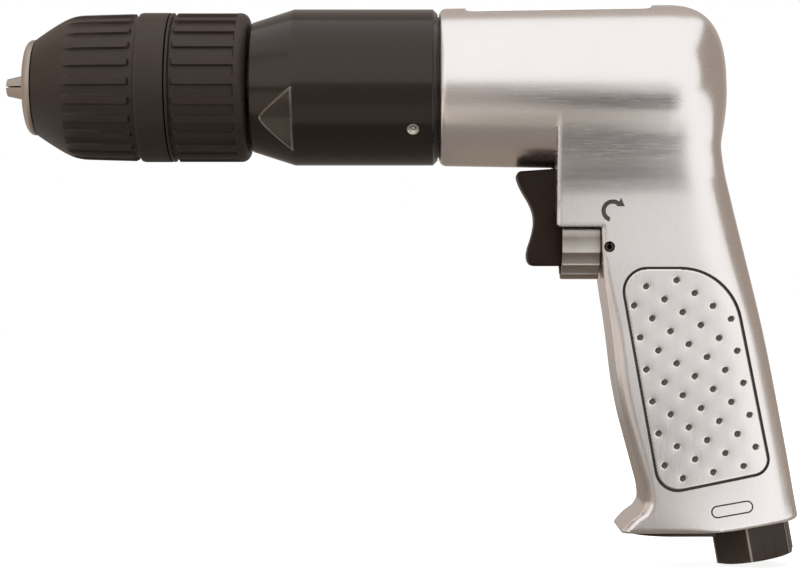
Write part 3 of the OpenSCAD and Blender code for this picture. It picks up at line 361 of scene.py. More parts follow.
def plated_steel():
    """Zinc-plated steel: pale grey with a slight cloudiness."""
    material, tree, place = start_material("zinc_plated_steel", {"Metallic": 1.0})
    tone = grain_of(tree, place, 1.2)
    return dress(material, tone, ("B9B4AB", "CFCBC3"), tone, (0.2, 0.34), 0.01, 0.1)


def ground_metal(name, dark, light, rough):
    """Ground metal of the inner parts: fine lines around the spindle."""
    material, tree, place = start_material(name, {"Metallic": 1.0})
    lines = grain_of(tree, place, GRIND_LINE, (1.0, 0.1, 0.1))
    return dress(material, lines, (dark, light), lines, (rough, rough + 0.12), 0.01, 0.2)


def dull_stuff(name, dark, light, grain_mm, depth_mm):
    """Felt, rubber or laminate: no shine, with a visible grain."""
    material, tree, place = start_material(name, {})
    grain = grain_of(tree, place, grain_mm)
    return dress(material, grain, (dark, light), grain, (0.6, 0.85), depth_mm, 0.6)


FINISH = {
    "cast_aluminium": polished_casting(),
    "label_sheet": label_film(),
    "black_anodised": black_oxide_case(),
    "zinc_plate": plated_steel(),
    "gear_steel": ground_metal("ground_gear_steel", "7A7876", "989593", 0.25),
    "bearing_steel": ground_metal("polished_bearing_steel", "A9A9A9", "C4C4C4", 0.08),
    "felt": dull_stuff("pressed_felt", "8F8266", "B0A283", 0.5, 0.15),
    "black_oxide": oxide_bushing_steel(),
    "brass": ground_metal("turned_brass", "A98546", "CDAA66", 0.2),
    "rubber": dull_stuff("nitrile_rubber", "191919", "232323", 0.8, 0.02),
    "turned_steel": turned_steel(),
    "chuck_plastic": glass_filled_plastic(),
    "vane_laminate": dull_stuff("phenolic_laminate", "5B3B22", "7A5333", 0.6, 0.03),
    "trigger_plastic": moulded_trigger_plastic(),
    "cast_zinc": tumbled_zinc(),
}
# Dull as-cast aluminium, darkened as painted shade in the recesses
AS_CAST_AND_SHADE = cast_recess_with_shade()


def smooth_curve(points, t):
    """Monotone cubic through listed (t, value) points."""
    knots, values = np.array(points, float).T
    gaps = np.diff(knots)
    rises = np.diff(values) / gaps
    product = rises[:-1] * rises[1:]
    total = np.where(product > 0, rises[:-1] + rises[1:], 1.0)
    slopes = np.concatenate([rises[:1], np.where(product > 0, 2 * product / total, 0), rises[-1:]])
    t = np.clip(t, knots[0], knots[-1])
    i = np.clip(np.searchsorted(knots, t, side="right") - 1, 0, len(gaps) - 1)
    h = gaps[i]
    s = (t - knots[i]) / h
    return ((1 + 2 * s) * (1 - s) ** 2 * values[i] + s * (1 - s) ** 2 * h * slopes[i]
            + s * s * (3 - 2 * s) * values[i + 1] + s * s * (s - 1) * h * slopes[i + 1])


def ease(t, start, end):
    """Smooth step from 0 to 1."""
    s = np.clip((t - start) / (end - start), 0, 1)
    return s * s * (3 - 2 * s)


def blend(a, b, reach):
    """Union of two fields that run into each other smoothly."""
    return np.minimum(a, b) - np.maximum(reach - np.abs(a - b), 0) ** 2 / (4 * reach)


def round_meet(a, b, r):
    """Intersection of two fields with a rounded edge of radius r."""
    return np.minimum(-r, np.maximum(a, b)) + np.hypot(np.maximum(r + a, 0), np.maximum(r + b, 0))


def barrel_r(x):
    """Radius of the barrel, which widens a little from its front to the dome."""
    start_x = HOUSE_LOW[0] + BARREL_EDGE
    share = np.clip((x - start_x) / (DOME_X - start_x), 0, 1)
    return BARREL_FRONT_R + (BARREL_REAR_R - BARREL_FRONT_R) * share


def barrel_field(x, y, z):
    """Negative inside the barrel and its domed rear end."""
    r = np.hypot(y, z)
    side = r - barrel_r(x)
    along = np.maximum(x - DOME_X, 0) / DOME_LEN
    dome = (np.power(r / BARREL_REAR_R, DOME_SQUARE) + np.power(along, DOME_SQUARE)) ** (1 / DOME_SQUARE)
    side = np.where(x > DOME_X, (dome - 1) * BARREL_REAR_R, side)
    return round_meet(side, HOUSE_LOW[0] - x, BARREL_EDGE)


def section_field(x, y, front, back, wide, edge, square):
    """Negative inside a section with flat sides and a rounded back, with or without front edges."""
    u = (x - (front + back) / 2) / ((back - front) / 2)
    ahead = np.abs(y) - wide if edge is None else round_meet(np.abs(y) - wide, front - x, edge)
    behind = ((np.abs(u) ** square + (np.abs(y) / wide) ** square) ** (1 / square) - 1) * wide
    return np.where(u < 0, ahead, behind)


def casting_field(x, y, z):
    """Negative inside the casting before it is bored: barrel, trigger block and handle in one."""
    drop = -z
    back = smooth_curve(HANDLE_BACK, drop)
    wide = smooth_curve(HANDLE_HALF, drop)
    lower = ease(drop, *GRIP_TURN)
    edge = BLOCK_EDGE + (GRIP_EDGE - BLOCK_EDGE) * lower
    square = BLOCK_BACK_SQUARE + (GRIP_BACK_SQUARE - BLOCK_BACK_SQUARE) * lower
    grip = section_field(x, y, smooth_curve(GRIP_FRONT, drop), back, wide, edge, square)
    block = section_field(x, y, BLOCK_X, back, wide, None, BLOCK_BACK_SQUARE)
    block = round_meet(block, drop - BLOCK_DROP, BLOCK_FLOOR_EDGE)
    handle = np.maximum(np.minimum(block, grip), -HANDLE_TOP - drop)
    barrel = barrel_field(x, y, z)
    reach = BLEND_SIDE + (BLEND_BACK - BLEND_SIDE) * ease(x, *BLEND_TURN)
    body = round_meet(blend(barrel, handle, reach), BLOCK_X - x, BLOCK_EDGE)
    body = np.minimum(barrel, body)
    body = round_meet(body, drop - HANDLE_DROP, HANDLE_EDGE)
    seat = (x - INLET_FACE[0]) * INLET_OUT[0] + (z - INLET_FACE[2]) * INLET_OUT[2] + HEX_LEN
    return round_meet(body, seat, HANDLE_EDGE)


def piece_from(name, points, faces, material=None):
    """A smooth-shaded mesh piece; points are millimetres."""
    mesh = bpy.data.meshes.new(name)
    faces = faces.tolist() if isinstance(faces, np.ndarray) else faces
    mesh.from_pydata((np.asarray(points, float) * MM).tolist(), [], faces)
    mesh.update()
    piece = bpy.data.objects.new(name, mesh)
    bpy.context.collection.objects.link(piece)
    if material:
        mesh.materials.append(material)
    return piece


def ring_faces(rings, count, first=0, loop=False):
    """Quads between closed rings of points; loop also joins the last ring to the first."""
    faces = []
    for j in range(rings if loop else rings - 1):
        a, b = first + j * count, first + (j + 1) % rings * count
        faces.extend([a + i, a + (i + 1) % count, b + (i + 1) % count, b + i] for i in range(count))
    return faces


def end_caps(rings, count, first=0):
    """Faces over the first and the last ring."""
    last = first + (rings - 1) * count
    return [list(range(first, first + count)), list(range(last, last + count))[::-1]]


def sheet_faces(rows, columns):
    """Quads of a grid of points, and walls from its rim to the rim of an equal grid that follows it."""
    a = (np.arange(rows - 1)[:, None] * columns + np.arange(columns - 1)).ravel()
    quads = np.stack([a, a + columns, a + columns + 1, a + 1], axis=1)
    rim = np.concatenate([
        np.arange(columns), np.arange(1, rows) * columns + columns - 1,
        (rows - 1) * columns + np.arange(columns - 2, -1, -1), np.arange(rows - 2, 0, -1) * columns,
    ])
    beside = np.roll(rim, -1)
    size = rows * columns
    return quads, rim, np.stack([rim, beside, beside + size, rim + size], axis=1)


def split_caps(piece):
    """Splits many-sided caps into triangles and turns the faces outwards."""
    work = bmesh.new()
    work.from_mesh(piece.data)
    loose = [vert for vert in work.verts if not vert.link_faces]
    bmesh.ops.delete(work, geom=loose, context="VERTS")
    caps = [face for face in work.faces if len(face.verts) > 4]
    bmesh.ops.triangulate(work, faces=caps, ngon_method="EAR_CLIP")
    bmesh.ops.recalc_face_normals(work, faces=work.faces)
    work.to_mesh(piece.data)
    work.free()
    return piece


def face_centres(piece):
    """Middle of each face, in millimetres."""
    centres = np.empty(len(piece.data.polygons) * 3)
    piece.data.polygons.foreach_get("center", centres)
    return centres.reshape(-1, 3) / MM


def mark_recesses(piece, deeper_than):
    """Gives the dull as-cast finish, darkened as painted shade, to the faces that lie under the polished skin.
    """
    piece.data.materials.clear()
    piece.data.materials.append(FINISH["cast_aluminium"])
    piece.data.materials.append(AS_CAST_AND_SHADE)
    depth = -casting_field(*face_centres(piece).T)
    piece.data.polygons.foreach_set("material_index", (depth > deeper_than).astype(np.int32))
    return piece


def mark_edges(piece, near_edge):
    """Stores where edges are rubbed bare and where highlights are painted; near_edge gives 0 to 1 for points in
    millimetres.
    """
    spots = np.empty(len(piece.data.vertices) * 3)
    piece.data.vertices.foreach_get("co", spots)
    worn_and_lit = piece.data.attributes.new("wear_and_highlight", "FLOAT", "POINT")
    worn_and_lit.data.foreach_set("value", near_edge(*(spots.reshape(-1, 3) / MM).T).astype(np.float32))
    return piece


def tidy_mesh(piece, angle=30, weld=0.001, turn_out=True):
    """Welds doubles, turns faces outwards, and shades smooth up to an edge angle in degrees."""
    mesh = piece.data
    work = bmesh.new()
    work.from_mesh(mesh)
    bmesh.ops.remove_doubles(work, verts=work.verts, dist=weld * MM)
    if turn_out:
        bmesh.ops.recalc_face_normals(work, faces=work.faces)
    work.to_mesh(mesh)
    work.free()
    mesh.shade_smooth()
    mesh.set_sharp_from_angle(angle=math.radians(angle))
    return piece


def baked(piece):
    """Replaces the mesh of a piece by its evaluated one and drops its modifiers."""
    graph = bpy.context.evaluated_depsgraph_get()
    mesh = bpy.data.meshes.new_from_object(piece.evaluated_get(graph))
    piece.modifiers.clear()
    old = piece.data
    mesh.name = old.name
    piece.data = mesh
    bpy.data.meshes.remove(old)
    return piece


def combine(piece, other, operation):
    """Cuts or joins a closed piece by another closed piece, which is used up."""
    step = piece.modifiers.new("combine", "BOOLEAN")
    step.operation = operation
    step.solver = "MANIFOLD"
    step.object = other
    baked(piece)
    bpy.data.meshes.remove(other.data)
    return piece


def cut(piece, cutter):
    """Cuts a closed piece by another, which is used up."""
    return combine(piece, cutter, "DIFFERENCE")


def surface_net(field, low, high, cell):
    """Quads on the zero surface of a field: one point for each grid cell that the surface crosses."""
    axes = [np.arange(a, b + cell, cell) for a, b in zip(low, high)]
    x, y, z = np.meshgrid(*axes, indexing="ij", sparse=True)
    values = field(x, y, z)
    inside = values < 0
    cells = tuple(n - 1 for n in values.shape)
    corners = [(i, j, k) for i in (0, 1) for j in (0, 1) for k in (0, 1)]

    def corner_view(data, c):
        return data[tuple(slice(c[d], c[d] + cells[d]) for d in range(3))]

    count = sum(corner_view(inside, c).astype(np.int8) for c in corners)
    active = np.argwhere((count > 0) & (count < 8))
    number = np.full(cells, -1, np.int64)
    number[tuple(active.T)] = np.arange(len(active))
    total = np.zeros((len(active), 3))
    hits = np.zeros(len(active))
    for a in corners:
        for d in range(3):
            if a[d]:
                continue
            b = tuple(a[e] + (e == d) for e in range(3))
            va = values[tuple((active + a).T)]
            vb = values[tuple((active + b).T)]
            crossed = (va < 0) != (vb < 0)
            share = np.where(crossed, va / np.where(crossed, va - vb, 1), 0)
            spot = np.tile(np.array(a, float), (len(active), 1))
            spot[:, d] += share
            total += spot * crossed[:, None]
            hits += crossed
    points = (active + total / hits[:, None]) * cell + np.array([axis[0] for axis in axes])
    quads = []
    for d in range(3):
        e, f = [(1, 2), (2, 0), (0, 1)][d]
        here = inside[tuple(slice(0, n - (i == d)) for i, n in enumerate(inside.shape))]
        there = inside[tuple(slice(int(i == d), n) for i, n in enumerate(inside.shape))]
        edge = np.argwhere(here != there)
        edge = edge[(edge[:, e] > 0) & (edge[:, f] > 0) & (edge[:, e] < cells[e]) & (edge[:, f] < cells[f])]
        ring = []
        for de, df in ((0, 0), (1, 0), (1, 1), (0, 1)):
            spot = edge.copy()
            spot[:, e] -= de
            spot[:, f] -= df
            ring.append(number[tuple(spot.T)])
        ring = np.stack(ring, axis=1)
        flip = ~here[tuple(edge.T)]
        ring[flip] = ring[flip][:, ::-1]
        quads.append(ring)
    return points, np.concatenate(quads)


def onto_surface(field, points, rounds=3, step=0.04):
    """Moves points along the slope of the field until they lie on its zero surface."""
    for _ in range(rounds):
        value = field(*points.T)
        slope = np.zeros_like(points)
        for d in range(3):
            shift = np.zeros(3)
            shift[d] = step
            slope[:, d] = (field(*(points + shift).T) - field(*(points - shift).T)) / (2 * step)
        size = np.maximum((slope ** 2).sum(axis=1), 0.05)
        move = (value / size)[:, None] * slope
        points = points - np.clip(move, -CASTING_CELL / 2, CASTING_CELL / 2)
    return points


def skin_y(x, z):
    """Half thickness of the casting at a place on its side."""
    low = np.zeros_like(x)
    high = np.full_like(x, HOUSE_HIGH[1] + 2)
    for _ in range(26):
        mid = (low + high) / 2
        within = casting_field(x, mid, z) < 0
        low = np.where(within, mid, low)
        high = np.where(within, high, mid)
    return (low + high) / 2


def rounded_outline(corners, steps=10):
    """Closed outline through corners (u, v, radius), each rounded by an arc."""
    spots = np.array([c[:2] for c in corners], float)
    points = []
    for i, here in enumerate(spots):
        r = corners[i][2]
        before = spots[i - 1] - here
        after = spots[(i + 1) % len(spots)] - here
        if r <= 0:
            points.append(here)
            continue
        before = before / np.linalg.norm(before)
        after = after / np.linalg.norm(after)
        half = math.acos(np.clip(before @ after, -1, 1)) / 2
        bisector = (before + after) / np.linalg.norm(before + after)
        centre = here + bisector * r / math.sin(half)
        a = here + before * r / math.tan(half) - centre
        b = here + after * r / math.tan(half) - centre
        sweep = math.pi - 2 * half
        for k in range(steps + 1):
            t = k / steps
            points.append(centre + (a * math.sin((1 - t) * sweep) + b * math.sin(t * sweep)) / math.sin(sweep))
    return np.array(points)


def signed_distance(outline, u, v):
    """Distance to a closed outline, negative inside."""
    best = np.full(u.shape, np.inf)
    odd = np.zeros(u.shape, bool)
    for (au, av), (bu, bv) in zip(outline, np.roll(outline, -1, axis=0)):
        du, dv = bu - au, bv - av
        t = np.clip(((u - au) * du + (v - av) * dv) / max(du * du + dv * dv, 1e-12), 0, 1)
        best = np.minimum(best, np.hypot(u - au - t * du, v - av - t * dv))
        if av != bv:
            odd ^= ((av > v) != (bv > v)) & (u < (bu - au) * (v - av) / (bv - av) + au)
    return np.where(odd, -best, best)


def lofted(name, rings, material=None):
    """Closed piece through rings of points, with a cap on each end."""
    count = len(rings[0])
    faces = end_caps(len(rings), count) + ring_faces(len(rings), count)
    return split_caps(piece_from(name, np.concatenate(rings), faces, material))


def side_prism(name, outline, side, deep):
    """Cutter whose floor lies a set depth under the side of the casting."""
    floor = side * (skin_y(*outline.T) - deep)
    return lofted(name, [np.insert(outline, 1, y, axis=1) for y in (floor, side * CUTTER_Y)])


def x_prism(name, outline, x0, x1):
    """Closed prism along X over an outline of (y, z) points."""
    return lofted(name, [np.insert(outline, 0, x, axis=1) for x in (x0, x1)])


def full_turn(count):
    """Even angles all around."""
    return np.arange(count) * 2 * math.pi / count


def disc(r, drop=0.0, count=96):
    """Circle of (y, z) points around the spindle or an axis below it."""
    a = full_turn(count)
    return np.column_stack([r * np.cos(a), r * np.sin(a) - drop])


def arrow_outline():
    """Curved turning arrow: an arc and a head."""
    sweep = np.radians(np.linspace(*ARROW_SWEEP, 17))
    outer, inner = ARROW_R + ARROW_STROKE / 2, ARROW_R - ARROW_STROKE / 2
    spots = [(outer, a) for a in sweep]
    spots += [(ARROW_R * far, math.radians(turn)) for far, turn in ARROW_HEAD]
    spots += [(inner, a) for a in sweep[::-1]]
    return np.array([(r * math.cos(a), r * math.sin(a)) for r, a in spots]) + np.array(ARROW_AT)


def pill_outline():
    """Outline of the pill-shaped recess, tilted with the handle."""
    half_l, half_h = PILL_SIZE[0] / 2, PILL_SIZE[1] / 2
    r = half_h * PILL_ROUND
    box = [(-half_l, -half_h, r), (half_l, -half_h, r), (half_l, half_h, r), (-half_l, half_h, r)]
    c, s = math.cos(math.radians(PILL_TURN)), math.sin(math.radians(PILL_TURN))
    return rounded_outline(box, 8) @ np.array([[c, s], [-s, c]]) + np.array(PILL_AT)


def shrink(outline, distance):
    """Outline moved inwards by a distance."""
    ahead = np.roll(outline, -1, axis=0) - outline
    behind = outline - np.roll(outline, 1, axis=0)
    way = ahead / np.maximum(np.linalg.norm(ahead, axis=1)[:, None], 1e-9)
    way = way + behind / np.maximum(np.linalg.norm(behind, axis=1)[:, None], 1e-9)
    way = way / np.linalg.norm(way, axis=1)[:, None]
    normal = np.column_stack([-way[:, 1], way[:, 0]])
    area = (outline[:, 0] * np.roll(outline[:, 1], -1) - np.roll(outline[:, 0], -1) * outline[:, 1]).sum()
    return outline + normal * distance * (1 if area > 0 else -1)


PANEL_OUTLINE = rounded_outline(PANEL_CORNERS, 14)


def inlet_point(points):
    """From (across, y, up from the face of the hexagon) to the frame, along the tilted inlet."""
    return INLET_FACE + np.asarray(points, float) @ np.array([INLET_SIDE, (0, 1, 0), INLET_UP])


def inlet_ring(r, height, count=72):
    """Ring around the tilted inlet, at a height over the face of the hexagon."""
    a = full_turn(count)
    return inlet_point(np.column_stack([r * np.cos(a), r * np.sin(a), np.full(count, height)]))


def motor_casting():
    """Housing and handle, one polished casting, bored and cut as the part is."""
    low = np.array([*HOUSE_LOW[:2], -HANDLE_DROP]) - GRID_BEFORE
    points, quads = surface_net(casting_field, low, HOUSE_HIGH + GRID_BEHIND, CASTING_CELL)
    casting = tidy_mesh(piece_from("motor_casting", onto_surface(casting_field, points), quads))
    cut(casting, x_prism("motor_bore", disc(BARREL_BORE_R), HOUSE_LOW[0] - 2, HOUSE_LOW[0] + MOTOR_BORE_DEEP))
    knob_drop = -(KNOB_LOW[2] + KNOB_HIGH[1])
    half, top = TRIGGER_HIGH[1:] + SLIDE_PLAY
    slot = np.array([[-half, -knob_drop], [half, -knob_drop], [half, top], [-half, top]])
    cut(casting, x_prism("trigger_slot", slot, BLOCK_X - 0.7, TRIGGER_HIGH[0] + TRIGGER_SLOT_PAST))
    pocket = disc(math.hypot(KNOB_HIGH[1], KNOB_HIGH[2] + knob_drop) + SLIDE_PLAY, knob_drop)
    pocket[:, 1] = np.minimum(pocket[:, 1], POCKET_RISE - knob_drop)
    cut(casting, x_prism("knob_pocket", pocket, BLOCK_X - 4, STEP_X))
    stem_low, stem_high = node_box("throttle_bushing")
    stem_hole = disc(stem_high[1] + BUSHING_PLAY, -(stem_low[2] + stem_high[2]) / 2)
    cut(casting, x_prism("throttle_bore", stem_hole, stem_low[0] - 2, THROTTLE_BORE_END))
    valve_high = node_box("reverse_valve")[1]
    valve_hole = disc(valve_high[1] + VALVE_PLAY, knob_drop)
    cut(casting, x_prism("valve_bore", valve_hole, STEP_X - 1, valve_high[0] + VALVE_END_PLAY))
    for name, r, start, end in (("inlet_thread_bore", INLET_THREAD_R, HEX_LEN - 2, INLET_THREAD_END),
                                ("air_passage", PASSAGE_R, HEX_LEN + 12, PASSAGE_END)):
        cut(casting, lofted(name, [inlet_ring(r, start), inlet_ring(r, end)]))
    pin_hole = disc(PIN_R + PIN_PLAY, 0, 40) + np.array([PIN_X, PIN_Z])
    for side in (-1, 1):
        cut(casting, side_prism("pin_hole", pin_hole, side, PIN_HOLE_DEEP))
        cut(casting, side_prism("turning_arrow", arrow_outline(), side, MARK_DEEP))
        line = side_prism("pill_line", pill_outline(), side, MARK_DEEP)
        cut(line, side_prism("pill_field", shrink(pill_outline(), PILL_LINE), side, MARK_DEEP + 1))
        cut(casting, line)
        cut(casting, side_prism("panel_pocket", PANEL_OUTLINE, side, PANEL_DEEP))
    # Bores, slots, pockets, pin holes and marks get the as-cast finish, darkened as painted shade
    return mark_recesses(tidy_mesh(casting, 32, turn_out=False), RECESS_FROM)


def dimple_places():
    """Staggered rows of dimples that lie well inside the panel."""
    start, across, along = (np.array(v) for v in (DIMPLE_START, DIMPLE_ACROSS, DIMPLE_ALONG))
    spots = np.array([start + i * across + j * along
                      for i in range(-4, 10) for j in range(-4, 22) if (i + j) % 2 == 0])
    return spots[signed_distance(PANEL_OUTLINE, *spots.T) < -DIMPLE_MARGIN]


def grip_panel(side, name):
    """Dimpled panel that stands in a groove on one side of the handle."""
    outline = shrink(PANEL_OUTLINE, PANEL_GROOVE)
    low, high = outline.min(axis=0) - PANEL_CELL, outline.max(axis=0) + 2 * PANEL_CELL
    u, v = np.meshgrid(*(np.arange(a, b, PANEL_CELL) for a, b in zip(low, high)), indexing="ij")
    inset = np.maximum(-signed_distance(outline, u, v), 0)
    fall = np.clip(1 - inset / PANEL_EDGE, 0, 1)
    height = skin_y(u, v) - PANEL_EDGE * (1 - np.sqrt(1 - fall ** 2))
    for spot in dimple_places():
        away = np.hypot(u - spot[0], v - spot[1])
        bowl = np.clip(1 - (away / DIMPLE_R) ** 2, 0, 1)
        height -= DIMPLE_DEEP * bowl + DIMPLE_DISH_DEEP * np.exp(-(away / DIMPLE_DISH_R) ** 2 * 2)
    top = np.stack([u.ravel(), side * height.ravel(), v.ravel()], axis=1)
    floor = top.copy()
    floor[:, 1] = side * (height.min() - PANEL_THICK)
    sheet, rim, walls = sheet_faces(*u.shape)
    faces = sheet.tolist() + walls.tolist() + [(rim[::-1] + u.size).tolist()]
    slab = split_caps(piece_from(name, np.concatenate([top, floor]), faces))
    combine(slab, side_prism("panel_outline", outline, side, PANEL_DEEP + PANEL_SINK), "INTERSECT")
    # The dimple pits and the rounded rim take the dark as-cast finish as painted shade
    return mark_recesses(tidy_mesh(slab, 40, turn_out=False), DIMPLE_SHADE_FROM)


def smooth_through(points, per_span):
    """Smooth curve through points, from the first to the last."""
    points = np.array(points, float)
    padded = np.concatenate([points[:1], points, points[-1:]])
    curve = []
    for p0, p1, p2, p3 in zip(padded, padded[1:], padded[2:], padded[3:]):
        for k in range(per_span):
            t = k / per_span
            curve.append(0.5 * (2 * p1 + (p2 - p0) * t + (2 * p0 - 5 * p1 + 4 * p2 - p3) * t * t
                                + (3 * p1 - p0 - 3 * p2 + p3) * t ** 3))
    return np.array(curve + [points[-1]])


def refine(loop, step, from_r=0.0):
    """Puts extra points into the long stretches of a closed profile that lie outside a radius."""
    points = []
    for a, b in zip(loop, np.roll(loop, -1, axis=0)):
        parts = max(1, int(math.ceil(np.linalg.norm(b - a) / step))) if min(a[1], b[1]) > from_r else 1
        points.extend(a + (b - a) * k / parts for k in range(parts))
    return np.array(points)


def swept(name, loop, angles, shape=None, closed=True, material=None):
    """Sweeps a closed (x, r) profile around the spindle; shape may change the radii at an angle."""
    rings = []
    for a in angles:
        r = shape(loop[:, 0], loop[:, 1], a) if shape else loop[:, 1]
        rings.append(np.column_stack([loop[:, 0], r * np.cos(a), r * np.sin(a)]))
    return piece_from(name, np.concatenate(rings), ring_faces(len(angles), len(loop), loop=closed), material)


def around_spindle_tree():
    """Copies one sector around the spindle and welds the copies into a whole."""
    tree = bpy.data.node_groups.new("sectors_around_spindle", "GeometryNodeTree")
    face = tree.interface
    face.new_socket("Sector", in_out="INPUT", socket_type="NodeSocketGeometry")
    face.new_socket("Sectors", in_out="INPUT", socket_type="NodeSocketInt")
    face.new_socket("Weld distance", in_out="INPUT", socket_type="NodeSocketFloat")
    face.new_socket("Finish", in_out="INPUT", socket_type="NodeSocketMaterial")
    face.new_socket("Whole", in_out="OUTPUT", socket_type="NodeSocketGeometry")
    given = add(tree, "NodeGroupInput").outputs
    spots = add(tree, "GeometryNodePoints", {"Count": given["Sectors"]})
    pitch = add(tree, "ShaderNodeMath", {0: 2 * math.pi, 1: given["Sectors"]}, operation="DIVIDE")
    turn = add(tree, "ShaderNodeMath", {
        0: add(tree, "GeometryNodeInputIndex").outputs["Index"], 1: pitch.outputs[0],
    }, operation="MULTIPLY")
    angles = add(tree, "ShaderNodeCombineXYZ", {"X": turn.outputs[0]})
    copies = add(tree, "GeometryNodeInstanceOnPoints", {
        "Points": spots.outputs[0], "Instance": given["Sector"], "Rotation": angles.outputs[0],
    })
    real = add(tree, "GeometryNodeRealizeInstances", {"Geometry": copies.outputs[0]})
    whole = add(tree, "GeometryNodeMergeByDistance", {
        "Geometry": real.outputs[0], "Distance": given["Weld distance"],
    })
    coated = add(tree, "GeometryNodeSetMaterial", {"Geometry": whole.outputs[0], "Material": given["Finish"]})
    add(tree, "NodeGroupOutput", {"Whole": coated.outputs[0]})
    return tree


AROUND = around_spindle_tree()


def repeat_around(piece, sectors, material):
    """Turns one sector into the whole ring."""
    step = piece.modifiers.new("around", "NODES")
    step.node_group = AROUND
    names = {item.name: item.identifier for item in AROUND.interface.items_tree if item.in_out == "INPUT"}
    step[names["Sectors"]] = sectors
    step[names["Weld distance"]] = 0.004 * MM
    step[names["Finish"]] = material
    return tidy_mesh(baked(piece), 38, 0.002)


# Grip bars of the chuck sleeves
BAR_COUNT = 24
BAR_HALF = 1.25
BAR_ROUND = 1.0
BAR_HIGH = 0.9
BAR_SLOPE = 0.14
BAR_STEPS = 22
SLEEVE_CELL = 0.5
SLEEVE_SKIN_R = 14.5

# Front sleeve: distance from its front, then a radius, or how far below the largest radius it lies
FRONT_CONE = [(0, 14.9), (3.7, 17.4), (8.6, 20.3)]
FRONT_SWELL = [(12.6, 1.2), (18, 0.86), (31.3, 0.5)]
FRONT_BAR_LINE = [(13, 1.0), (31.3, 0.5)]
FRONT_BAND = (32.4, 0.25)
FRONT_BARS = (9.6, 30.1)
FRONT_GROOVES = (1, 31.4)
FRONT_BORE_R = 12.35
NUT_PLAY = 0.05

# Rear sleeve: its bores, the depth of the rear one, and where its bars and grooves begin and end
REAR_FRONT_R, REAR_MID_R, REAR_BACK_R = 17.25, 19.0, 11.5
REAR_BACK_LEN = 8.2
REAR_FLANGE = 46.3
REAR_ROUND = 2.6
REAR_BARS_FROM = 1.8
REAR_GROOVES = (0.9, 3.1)

# Nose collar: mouth, bore and neck
MOUTH_R, MOUTH_CHAMFER, MOUTH_LEN = 7.4, 0.6, 1.25
COLLAR_BORE_R = 10.45
COLLAR_NECK_R = 12.0
COLLAR_ROUND = 2.0
COLLAR_GAP = 0.4


def bar_share(x, r, angle, x0, x1):
    """1 on a grip bar and 0 in the groove beside it; the bar has rounded ends."""
    mid, half = (x0 + x1) / 2, (x1 - x0) / 2
    dx = np.maximum(np.abs(x - mid) - half + BAR_ROUND, 0)
    dy = np.maximum(np.abs(r * angle) - BAR_HALF + BAR_ROUND, 0)
    return 1 - ease(np.hypot(dx, dy) - BAR_ROUND, -BAR_SLOPE, BAR_SLOPE)


def barred_sleeve(name, loop, bars, grooves, bar_line):
    """Grip sleeve: one bar's share of it is swept, then repeated around the spindle."""
    loop = refine(loop, SLEEVE_CELL, SLEEVE_SKIN_R)
    angles = np.linspace(-math.pi / BAR_COUNT, math.pi / BAR_COUNT, BAR_STEPS + 1)

    def with_bar(x, r, angle):
        floor = np.minimum(r, np.interp(x, *bar_line) - BAR_HIGH)
        cut_r = floor + (r - floor) * bar_share(x, r, angle, *bars)
        return np.where((x > grooves[0]) & (x < grooves[1]), cut_r, r)

    piece = swept(name, loop, angles, with_bar, False)
    return repeat_around(piece, BAR_COUNT, FINISH["chuck_plastic"])


def front_sleeve():
    """Turning sleeve of the chuck: a swelling cone, grip bars and a plain band."""
    x0, x1 = SLEEVE_LOW[0], SLEEVE_HIGH[0]
    r = SLEEVE_HIGH[1]
    nut_low, nut_high = node_box("chuck_nut")
    nut_x, nut_r = nut_low[0] - NUT_PLAY, nut_high[1] + NUT_PLAY
    cone = [(x0 + x, q) for x, q in FRONT_CONE] + [(x0 + x, r - q) for x, q in FRONT_SWELL]
    band_x, band_r = x0 + FRONT_BAND[0], r - FRONT_BAND[1]
    rear = rounded_outline([
        (band_x, band_r, 0.3), (x1, band_r, 0.2), (x1, nut_r, 0), (nut_x, nut_r, 0),
        (nut_x, FRONT_BORE_R, 0), (x0, FRONT_BORE_R, 0), (*cone[-1], 0),
    ], 6)[:-1]
    bar_line = np.array([(x0 + x, r - q) for x, q in FRONT_BAR_LINE]).T
    return barred_sleeve("chuck_front_sleeve_grip", np.concatenate([smooth_through(cone, 8), rear]),
                         np.add(FRONT_BARS, x0), np.add(FRONT_GROOVES, x0), bar_line)


def rear_sleeve():
    """Fixed sleeve of the chuck, with grip bars and a rounded rear edge."""
    x0, x1 = REAR_LOW[0], REAR_HIGH[0]
    r = REAR_HIGH[1]
    flange_x = node_box("chuck_body")[0][0] + REAR_FLANGE
    back_x = x1 - REAR_BACK_LEN
    loop = rounded_outline([
        (x0, REAR_FRONT_R, 0), (x0, r, 0.2), (x1, r, REAR_ROUND), (x1, REAR_BACK_R, 0.4),
        (back_x, REAR_BACK_R, 0), (back_x, REAR_MID_R, 0),
        (flange_x, REAR_MID_R, 0), (flange_x, REAR_FRONT_R, 0),
    ], 6)
    grooves = (x0 + REAR_GROOVES[0], x1 - REAR_GROOVES[1])
    return barred_sleeve("chuck_rear_sleeve_grip", loop, (x0 + REAR_BARS_FROM, x1), grooves, ((x0, x1), (r, r)))


